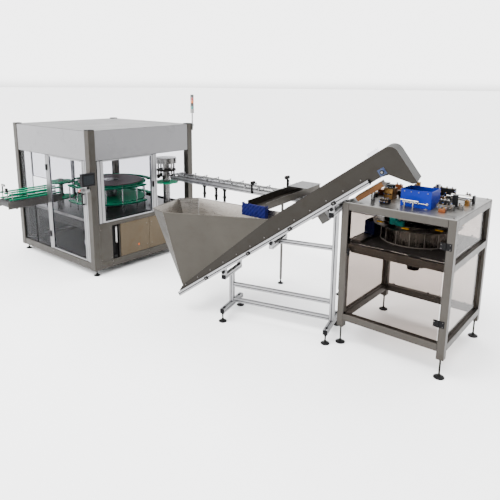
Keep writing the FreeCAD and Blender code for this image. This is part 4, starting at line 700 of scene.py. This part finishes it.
low, high, mid = boxes_in("infeed_sensor")[1]
for x in (low.x + .012, mid.x, high.x - .012):
    sensor.turned((x, mid.y, high.z - .003), UP, [(.0105, 0), (.012, .003), (.012, .011), (.009, .014)], 0,
        sides=24)
sensor.done("bottle_lane_sensor", "grey_sheet")

# ---- Cap conveyor ----
# A light table-top conveyor of bright profile with two cap streams between round-edged guide bars;
# cross bars on short posts carry the guides, black sensor brackets hang under it, and a thin dark
# stand holds its far end.
guide_bright = brushed("guide_bar_bright", (.95, .95, .95), .25, grain=(8, 260, 260), stain=.15)
track = Piece(anodised, cap_black, side_plate)
for number, (low, high, mid) in enumerate(boxes_in("cap_frame")):
    if number < 2:
        profile(track, low, high)
track.node("cap_frame", (None, None, 2), edge=.001)
track.done("cap_conveyor_frame", "aluminium_profile")
cap_chain = Piece(chain_dark).node("cap_belt", 0, edge=.001, flat=False)
low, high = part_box("cap_belt")
count = int((high.x - low.x - .06) / slat_pitch)
slats(cap_chain, 0, low.x + .03, count, low.y + .006, high.y - .006, high.z, .02, .0012, .003, .0007)
cap_chain.done("cap_slat_chain", "dark_chain")
Piece(black_fitting).node("cap_drum", 0, edge=.002).done("cap_chain_drum", "black_plastic", body="cap_drum")
cap_rails = Piece(guide_bright, anodised, black_fitting, screw_steel)
cap_rails.node("cap_guides", (0, 0, 0, 0, 1), edge=.0016)
for number, (low, high, mid) in enumerate(boxes_in("cap_guides")):
    if number > 3 and high.y - low.y > .2:
        x = mid.x
        for y in (low.y + .01, high.y - .01):
            cap_rails.turned((x, y, high.z - .001), UP, [(.005, 0), (.0095, .001), (.0105, .006),
                (.009, .009)], 2, sides=16)
        for y in boxes_in("cap_guides")[:4]:
            cap_rails.screw((x, y[2].y, high.z - .001), UP, .0045, 3)
cap_rails.done("cap_guide_bars", "chrome_rod")
hangers = Piece(black_fitting, screw_steel).node("cap_hangers", 0, flat=False)
for low, high, mid in boxes_in("cap_hangers"):
    for z in (high.z - .003, high.z - .128):
        hangers.turned((mid.x, mid.y, z - .008), UP, [(.02, 0), (.024, .001), (.024, .006), (.02, .007)], 0,
            sides=6)
hangers.done("cap_sensor_hangers", "black_plastic")
sensor = Piece(black_fitting, screw_steel, lenses[3]).node("cap_sensor", 0, edge=.004, steps=3)
for low, high, mid in (boxes_in("cap_sensor")[1], boxes_in("cap_sensor")[4]):
    sensor.turned((mid.x, low.y + .014, high.z - .001), UP, [(.009, 0), (.011, .0015), (.009, .004)], 2,
        sides=20)
sensor.done("cap_level_sensor", "black_plastic")
leg_dark = brushed("leg_steel", (.2, .19, .18), .42, grain=(200, 200, 8), stain=.5)
legs = Piece(leg_dark, rubber_black, thread_steel, cap_black)
legs.node("cap_leg", lambda number, size: 0 if size.z > .5 or size.y > .2 else None, edge=.003)
levelling_feet(legs, "cap_leg", 1, 2)
legs.done("cap_conveyor_legs", "dark_steel")

# ---- Elevator trough, belt and drums ----
# Two bent stainless side sheets on slotted rails, with a bed plate between them and a pale cleated
# belt over a rubber-faced head drum. Bearings are blue castings; the drive hangs underneath.
bay = Matrix.Translation((.893, -.2505, 0)) @ Matrix.Rotation(radians(15.4), 4, "Z")
climb = bay @ Matrix.Translation((-.566, 0, .193)) @ Matrix.Rotation(radians(-35.6), 4, "Y")
slope_turn = (0, radians(35.6), radians(-15.4))
trough_steel = brushed("trough_stainless", (.05, .046, .041), .38, grain=(5, 260, 260), turn=slope_turn,
    stain=.35)
inside_steel = brushed("trough_inside_stainless", (.075, .066, .055), .38, grain=(5, 260, 260),
    turn=slope_turn)
trough = Piece(trough_steel, screw_steel, place=climb)
trough.node("elevator_panels", 0, edge=.0018)
rails = boxes_in("elevator_rails", climb)
sides = boxes_in("elevator_panels", climb)
for low, high, mid in sides:
    out = -1 if high.y < 0 else 1
    face = (low.y if out < 0 else high.y) - out * .0012
    for k in range(13):
        trough.screw((.12 + .2 * k, face, rails[0][1].z + .03), (0, out, 0), .0065, 1)
trough.done("elevator_trough_sides", "brushed_sheet")
slope_rails = Piece(anodised, cap_black, black_fitting, screw_steel, place=climb)
for number, (low, high, mid) in enumerate(rails):
    if number < 2:
        profile(slope_rails, low, high, slot=.01, deep=.009)
        near = low.y if low.y < 0 else high.y
        out = -1 if low.y < 0 else 1
        for k, s in enumerate((.42, 1.05, 1.62, 2.16)):
            slope_rails.block((s, near - .004, low.z + .006), (s + .05, near + .004, high.z - .006), 2, .002)
            slope_rails.screw((s + .025, near + out * .003, mid.z), (0, out, 0), .008, 3)
    else:
        slope_rails.block(low, high, 1, .002)
slope_rails.done("elevator_slope_rails", "aluminium_profile", "elevator_rails")
hood_tan = coated("head_deflector_tan", (.13, .055, .018), .5, mottle=.7, gloss=.2)
bed = Piece(inside_steel, inner_steel, hood_tan)
bed.node("elevator_bed", (0, *(1,) * 7, 2))
bed.done("elevator_bed_plate", "brushed_sheet")
belt_white = coated("cleated_belt_white", (.42, .42, .4), .5, grain=160, worn=.3)
Piece(belt_white).node("elevator_belt", 0, edge=.0012, flat=False).done("elevator_cleated_belt", "white_belt")
for end in ("head_drum", "tail_drum"):
    drum = Piece(hub_steel, rubber_black).node(end, 0, edge=.002)
    drum.done(end.replace("_", "_belt_"), "chrome_rod", body=end)
cast_blue = coated("bearing_cast_blue", (.006, .028, .11), .38, mottle=.7, grain=120, coat=.1, worn=.1)
bearings = Piece(cast_blue, bright_rod, black_fitting, place=climb).node("elevator_bearings", 0, edge=.004,
    steps=3)
for low, high, mid in boxes_in("elevator_bearings", climb):
    out = -1 if high.y < 0 else 1
    face = low.y if out < 0 else high.y
    x, z = mid.x, mid.z
    bearings.turned((x, face - out * .003, z), (0, out, 0), [(.021, 0), (.021, .004), (.0165, .006),
        (.0165, .010), (.011, .0105), (.011, .004)], 2, sides=30)
    for dx, dz in ((-.03, -.03), (.03, -.03), (.03, .03), (-.03, .03)):
        if high.x - low.x > .08:
            bearings.screw((x + dx, face - out * .004, z + dz), (0, out, 0), .007, 1)
bearings.done("elevator_bearing_blocks", "blue_plastic")
hood_dark = coated("hood_dark_steel", (.03, .028, .025), .5, mottle=.7, gloss=.3)
hood = Piece(hood_dark, hood_tan, guard_clear, screw_steel)
hood.node("elevator_hood", (0, 1, 2, 3), edge=.0025)
hood.done("elevator_head_hood", "brushed_sheet")
drive_dark = coated("drive_grey_brown", (.07, .064, .055), .4, mottle=.7, coat=.15, worn=.3)
drive = Piece(drive_dark, screw_steel, black_fitting, place=climb).node("elevator_gearmotor", 0, edge=.005,
    steps=3)
low, high, mid = boxes_in("elevator_gearmotor", climb)[2]
for fin in range(10):
    drive.turned((mid.x, low.y + .012 + fin * .0135, mid.z), (0, 1, 0),
        [(.034, 0), (.0435, .0006), (.0435, .004), (.034, .0046)], 0, sides=36)
drive.done("elevator_gearmotor_body", "dark_steel")

# ---- Hopper ----
# Folded and seam-welded stainless sheet, glossier inside than out and painted far lighter inside as
# painted light, open at the top, with a hemmed rim and a bolted flange where it meets the trough.
hopper_steel = brushed("hopper_stainless", (.1, .092, .08), .42, grain=(7, 7, 240), stain=.14,
    tint=(.46, .4, .34))
# The inside is the same sheet painted five times lighter: painted light on the inner faces.
hopper_inside_painted_light = brushed("hopper_inside_stainless", (.5, .465, .42), .3, grain=(7, 7, 240), stain=.35,
    tint=(.3, .24, .19))
hopper = Piece(hopper_steel, hopper_inside_painted_light, screw_steel).node("hopper", 0, edge=.0012)
hopper.mesh.faces.ensure_lookup_table()
low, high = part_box("hopper")
mid = (low + high) / 2
mouth = Vector((mid.x, mid.y, high.z - .25))
# Faces turned towards the mouth take the lighter inside colour: painted light.
for face in hopper.mesh.faces:
    if face.normal.dot(mouth - face.calc_center_median()) > .02:
        face.material_index = 1
for points, faces in solids_in("hopper"):
    top = [Vector(p) for p in points if p[2] > high.z - .004]
    pairs = sorted(((a - b).length, k, j) for k, a in enumerate(top) for j, b in enumerate(top) if j > k)
    if pairs:
        span, k, j = pairs[-1]
        inset = (top[j] - top[k]).normalized() * .005
        drop = Vector((0, 0, -.0045))
        hopper.rod(top[k] + inset + drop, top[j] - inset + drop, .0042, 0, sides=14)
hopper.done("hopper_sheets", "brushed_sheet")

# ---- Elevator stand ----
# Slotted profile bolted up with corner brackets; two cross feet with black caps stand on levelling
# screws, and black clamp blocks with star knobs hold the trough's rails at its two heights.
stand = Piece(anodised, cap_black, black_fitting, screw_steel, place=bay)
for number, (low, high, mid) in enumerate(boxes_in("stand_frame", bay)):
    if number < 8:
        profile(stand, low, high, cap_ends=number != 7)
        continue
    stand.block(low, high, 0, .004, steps=3)
    out = -1 if high.y < 0 else 1
    face = low.y if out < 0 else high.y
    stand.turned((mid.x, face - out * .002, mid.z), (0, out, 0),
        [(.006, 0), (.006, .008), (.017, .010), (.019, .014), (.019, .022), (.015, .026)], 2, sides=10)
stand.done("elevator_stand_frame", "aluminium_profile", "stand_frame")
stand_feet = Piece(anodised, cap_black, rubber_black, thread_steel, black_fitting)
levelling_feet(stand_feet, "stand_feet", 2, 3)
stand_feet.place = bay
for low, high, mid in boxes_in("stand_feet", bay):
    if low.z > .09:
        profile(stand_feet, low, high)
        for y in (low.y + .06, high.y - .06):
            stand_feet.block((mid.x - .012, y - .012, high.z - .002), (mid.x + .012, y + .012, high.z + .006),
                4, .003)
stand_feet.done("elevator_stand_feet", "aluminium_profile", "stand_feet")

# ---- Return chute and its curtain ----
# A shallow stainless trough that brings rejected caps back over the cap conveyor, under a grey lid,
# and ends over the hopper in a short skirt of deep blue vinyl.
chute = Piece(inside_steel, roof_grey, screw_steel).node("return_chute", (0, 0, 0, 1, 0), edge=.0015)
low, high, mid = boxes_in("return_chute")[3]
chute.screws((low.x + .02, high.x - .02), (low.y + .03, mid.y, high.y - .03), (high.z - .002,), UP, .006, 2)
chute.done("return_cap_chute", "brushed_sheet")
vinyl, wire, place = new_finish("curtain_blue_vinyl")
weave = wire.node("TexNoise", Vector=place, Scale=420., Detail=2.)
crease_relief_and_shade = wire.node("TexNoise", Vector=place, Scale=16., Detail=4., Distortion=1.5)
# The colour darkens in the hollows of the crease relief: painted shade in the creases.
tone = mixed(wire, crease_relief_and_shade * 1.3 - .15 + (weave - .5) * .2, (.0005, .001, .016, 1), (.001, .003, .07, 1))
bump = wire.node("Bump", Strength=.35, Distance=.004, Height=crease_relief_and_shade + weave * .12)
wire.node("OutputMaterial", Surface=wire.node("BsdfPrincipled", Base_Color=tone, Normal=bump, Roughness=crease_relief_and_shade
    * .25 + .4, Specular_IOR_Level=.15))
low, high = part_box("return_skirt")
path = [Vector((low.x + .002, high.y - .001)), Vector((low.x + .002, low.y + .008)),
    Vector((low.x + .008, low.y + .002)), Vector((high.x - .008, low.y + .002)),
    Vector((high.x - .002, low.y + .008)), Vector((high.x - .002, high.y - .001))]
lengths = [(b - a).length for a, b in zip(path, path[1:])]
columns, rows = 72, 20
curtain_bm = bmesh.new()
grid = []
for column in range(columns + 1):
    along, leg = sum(lengths) * column / columns, 0
    while leg < len(lengths) - 1 and along > lengths[leg]:
        along -= lengths[leg]
        leg += 1
    heading = (path[leg + 1] - path[leg]).normalized()
    spot, inward = path[leg] + heading * along, Vector((-heading.y, heading.x))
    line = []
    for row in range(rows + 1):
        fall = row / rows
        fold = .5 + .5 * sin(column * .72 + 1.3 * sin(column * .21)) * cos(fall * .8 + column * .13)
        depth = (.001 + .009 * fold * (.25 + .75 * fall) + .0035 * sin(fall * 9 + column * .4) ** 2)
        z = high.z - .001 - (high.z - low.z - .002) * fall - .005 * (1 - fall) * fold
        line.append(curtain_bm.verts.new((*(spot + inward * depth), z)))
    grid.append(line)
for left, right in zip(grid, grid[1:]):
    for row in range(rows):
        curtain_bm.faces.new((left[row], left[row + 1], right[row + 1], right[row])).smooth = True
curtain = bpy.data.objects.new("return_chute_curtain", bpy.data.meshes.new("return_chute_curtain"))
curtain_bm.to_mesh(curtain.data)
curtain_bm.free()
curtain.data.materials.append(vinyl)
scene.collection.objects.link(curtain)
thick = curtain.modifiers.new("vinyl_thickness", "SOLIDIFY")
thick.thickness, thick.offset = .0012, 1
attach(curtain, "frame")
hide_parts("return_skirt")

# ---- Sorter frame, panes and door ----
# A welded square-tube stand, ground at the joints, on long levelling screws. Clear panes sit inside
# the tubes with small clips; the front pane hangs on two black plastic hinges with a black latch.
sorter_steel = brushed("sorter_tube_steel", (.105, .097, .087), .42, grain=(240, 240, 6), stain=.25)
stand_tubes = Piece(sorter_steel, black_fitting, screw_steel)
stand_tubes.node("sorter_frame", (0,) * 16 + (1,), edge=.004, steps=3)
tubes = boxes_in("sorter_frame")
for low, high, mid in tubes[16:]:
    for z in (low.z + .012, high.z - .012):
        stand_tubes.screw((mid.x + .01, low.y + .001, z), FRONT, .004, 2)
for low, high, mid in tubes[:4]:
    for x in (low.x + .008, high.x - .014):
        stand_tubes.block((x, mid.y - .02, high.z - .001), (x + .006, mid.y + .02, high.z), 1, 0)
stand_tubes.done("sorter_tube_frame", "satin_steel")
feet = Piece(rubber_black, thread_steel)
levelling_feet(feet, "sorter_feet")
feet.done("sorter_levelling_feet", "black_feet", "sorter_feet")
sorter_clear = clear("sorter_acrylic", (.72, .69, .67), .003)
panes = Piece(sorter_clear, black_fitting, screw_steel).node("sorter_panes", 0, edge=.001)
for low, high, mid in boxes_in("sorter_panes"):
    thin = min((0, 1), key=lambda k: (high - low)[k])
    wide = 1 - thin
    inward = 1 if (low[thin] + high[thin]) / 2 < tubes[4][0][thin] + .4 else -1
    face = high[thin] if inward > 0 else low[thin]
    for share in (.08, .5, .92):
        for z in (low.z + .012, high.z - .012):
            at = Vector((0, 0, z))
            at[thin], at[wide] = face - inward * .001, low[wide] + (high - low)[wide] * share
            way = Vector((0, 0, 0))
            way[thin] = inward
            panes.turned(at, way, [(.009, 0), (.01, .0015), (.01, .004), (.008, .006)], 1, sides=18)
panes.done("sorter_clear_panes", "clear_guard")
sorter_door = Piece(sorter_clear, black_fitting, screw_steel, bright_rod)
sorter_door.node("sorter_door", (0, 1), edge=.003, steps=3)
low, high, mid = boxes_in("sorter_door")[3]
sorter_door.turned((mid.x, low.y + .002, mid.z), FRONT, [(.009, 0), (.009, .0015), (.004, .0015)], 3,
    sides=20)
for low, high, mid in boxes_in("sorter_door")[1:3]:
    sorter_door.rod((mid.x + .02, mid.y, low.z + .001), (mid.x + .02, mid.y, high.z - .001), .0075, 1)
    for z in (low.z + .014, high.z - .014):
        sorter_door.screw((low.x + .01, low.y + .002, z), FRONT, .0045, 2)
sorter_door.done("sorter_door_pane", "clear_guard", body="sorter_door")

# ---- Sorter shelf and bowl ----
# A dark ground plate carries the drive post and the centrifugal bowl: a spun steel pan in a white
# hoop cage, with a coned disc inside, yellow rim clips and a small teal cap gate.
shelf_steel = coated("sorter_shelf_plate", (.055, .056, .057), .5, mottle=.9, gloss=.25)
shelf = Piece(shelf_steel, sorter_steel, inner_steel, screw_steel, side_plate)
shelf.node("sorter_shelf", (0, 2, 2, 1, 4), edge=.003)
low, high, mid = boxes_in("sorter_shelf")[0]
shelf.screws((low.x + .04, high.x - .04), (low.y + .04, mid.y, high.y - .04), (high.z - .0015,), UP, .009, 3)
low, high, mid = boxes_in("sorter_shelf")[2]
for fin in range(8):
    shelf.turned((mid.x, mid.y, low.z + .02 + fin * .018), UP,
        [(.058, 0), (.0655, .001), (.0655, .005), (.058, .006)], 2, sides=36)
shelf.done("sorter_shelf_and_drive", "brushed_sheet")
pan_steel = brushed("bowl_pan_steel", (.13, .122, .112), .3, grain=(120, 120, 9), stain=.3)
Piece(pan_steel, bright_rod).node("bowl_shell", (0, 1), edge=.002).done("sorter_bowl_pan", "brushed_sheet")
hoop_white = coated("hoop_white_nylon", (.36, .36, .35), .45, mottle=.3, gloss=.3)
clip_yellow = coated("clip_yellow", (.9, .5, .004), .5, mottle=.3, gloss=.1)
gate_teal = coated("cap_gate_teal", (.002, .36, .33), .5, mottle=.4, gloss=.1)
cage = Piece(hoop_white, clip_yellow, gate_teal, bright_rod, screw_steel).node("bowl_cage")
low, high, mid = boxes_in("bowl_cage")[1]
radius = (high.x - low.x) / 2
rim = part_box("bowl_shell")[1].z
for turn in (-128, -84, -40, 12, 70, 130, 185):
    x, y = mid.x + (radius + .052) * cos(radians(turn)), mid.y + (radius + .052) * sin(radians(turn))
    cage.block((x - .034, y - .012, rim), (x + .034, y + .012, rim + .011), 1, .003, steps=3)
    cage.screw((x, y, rim + .0105), UP, .006, 4)
for turn, tall in ((-110, .07), (-97, .045)):
    x, y = mid.x + (radius - .02) * cos(radians(turn)), mid.y + (radius - .02) * sin(radians(turn))
    cage.block((x - .035, y - .02, rim), (x + .035, y + .02, rim + tall), 2, .004, steps=3)
    cage.rod((x, y, rim + tall - .001), (x, y, rim + tall + .05), .006, 3)
cage.done("bowl_hoop_cage", "chrome_rod")
Piece(hub_steel).node("bowl_disc", 0, edge=.001, flat=False).done("sorter_bowl_disc", "brushed_sheet",
    body="bowl_disc")

# ---- Sorter top: plate, cap box and pneumatics ----
# A loose-laid ground plate with the royal blue cap box over the bowl's mouth, ringed by small valves,
# a rodless cylinder, regulators and brass and steel fittings, all screwed down to the plate.
top_steel = brushed("sorter_top_steel", (.34, .33, .315), .32, grain=(6, 220, 220), stain=.35)
top = Piece(top_steel, screw_steel).node("sorter_top", 0, edge=.0025)
low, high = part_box("sorter_top")
mid = (low + high) / 2
xs, ys = (low.x + .035, high.x - .035), (low.y + .035, high.y - .035)
top.screws(xs, (*ys, mid.y), (high.z - .0015,), UP, .009, 1)
top.screws((mid.x,), ys, (high.z - .0015,), UP, .009, 1)
top.done("sorter_top_plate", "brushed_sheet")
box_blue = coated("cap_box_blue", (.001, .016, .3), .4, gloss=.2)
crate_blue = coated("shelf_crate_blue", (.003, .009, .08), .45, mottle=.6, gloss=.3)
cap_box = Piece(box_blue, bright_rod, screw_steel, crate_blue)
cap_box.node("sorter_chute", (0, 3), edge=.002)
low, high, mid = boxes_in("sorter_chute")[0]
cap_box.rod((low.x + .03, low.y - .008, low.z + .045), (high.x - .03, low.y - .008, low.z + .045), .0045, 1)
for x in (low.x + .035, low.x + .1, low.x + .17, high.x - .035):
    cap_box.turned((x, low.y + .001, low.z + .045), FRONT, [(.011, 0), (.011, .005), (.0075, .006),
        (.0075, .016)], 1, sides=18)
    cap_box.screw((x, low.y + .001, high.z - .02), FRONT, .005, 2)
for x in (low.x + .04, high.x - .04):
    cap_box.block((x - .015, low.y - .02, low.z), (x + .015, low.y + .002, low.z + .004), 2, .001)
    cap_box.screw((x, low.y - .01, low.z + .0035), UP, .005, 2)
cap_box.done("cap_box", "blue_plastic")
valve_black = coated("valve_black", (.008, .008, .009), .42, mottle=.7, gloss=.6)
brass = brushed("brass_fitting", (.4, .22, .07), .3, grain=(150, 150, 150), tint=(.5, .3, .2))
copper = brushed("copper_part", (.3, .1, .04), .34, grain=(150, 150, 150), stain=.5, tint=(.4, .25, .2))
push_blue = coated("push_fitting_blue", (.006, .05, .3), .34, mottle=.3, coat=.4)
valves = Piece(side_plate, valve_black, bright_rod, brass, copper, push_blue, screw_steel)
looks = (0, 1, 1, 1, 2, 1, 1, 2, 2, 2, 3, 1, 4, 3, 1, 2, 3, 1, 4, 2, 1, 1, 1, 2)
valves.node("air_valves", looks, edge=.003)
blocks = boxes_in("air_valves")


def fitting(x, y, z, way=UP, collar=5, size=1.):
    """A push-in air fitting: hexagon, nickel body and coloured release collar."""
    nut = [(.0075, 0), (.0085, .001), (.0085, .006), (.007, .007)]
    body = [(.006, .006), (.0068, .008), (.0068, .017), (.0055, .018)]
    release = [(.0052, .017), (.006, .019), (.006, .022), (.003, .0225), (.003, .019)]
    for rings, look, sides in ((nut, 3, 6), (body, 2, 18), (release, collar, 18)):
        valves.turned((x, y, z), way, [(radius * size, up) for radius, up in rings], look, sides=sides)


for number in (0, 10, 12, 14, 16, 18, 22):
    low, high, mid = blocks[number]
    for k in range(4):
        x = low.x + (high.x - low.x) * (k + .5) / 4
        fitting(x, low.y + .012, high.z - .001, collar=5 if k % 2 else 1)
        fitting(x, low.y + .001, mid.z, FRONT, 1 if k % 2 else 5, .9)
    for x in (low.x + .007, high.x - .007):
        valves.screw((x, high.y - .008, high.z - .001), UP, .004, 6)
for number in (1, 2, 3):
    low, high, mid = blocks[number]
    valves.turned((mid.x, mid.y, high.z - .001), UP, [(.0095, 0), (.0095, .006), (.006, .0075), (.006, .012),
        (.003, .013)], 2, sides=20)
low, high, mid = blocks[4]
for x in (low.x + .03, high.x - .03):
    fitting(x, mid.y, high.z - .001, collar=5)
valves.rod((low.x - .05, mid.y, mid.z), (low.x + .001, mid.y, mid.z), .008, 2)
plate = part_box("sorter_top")
for k, (x, y, wide, tall, look) in enumerate(((2.30, .36, .05, .035, 1), (2.36, .60, .07, .03, 0),
        (2.44, .74, .06, .045, 3), (2.58, .80, .08, .03, 1), (2.76, .80, .06, .05, 0),
        (2.90, .84, .09, .032, 4), (3.06, .86, .05, .05, 1), (3.14, .56, .04, .05, 3),
        (3.14, .36, .045, .036, 0), (3.05, .14, .06, .03, 4), (2.32, .90, .08, .05, 4),
        (2.50, .93, .05, .06, 1))):
    base = plate[1].z
    valves.block((x - wide / 2, y - .022, base), (x + wide / 2, y + .022, base + tall), look, .003)
    fitting(x - wide / 4, y, base + tall - .001, collar=5 if k % 2 else 1)
    valves.turned((x + wide / 4, y, base + tall - .001), UP, [(.008, 0), (.009, .002), (.009, .012),
        (.006, .015)], 2 if k % 3 else 3, sides=18)
    for side in (-1, 1):
        valves.screw((x + side * (wide / 2 + .008), y, base), UP, .0045, 6)
valves.done("sorter_air_valves", "dark_steel")
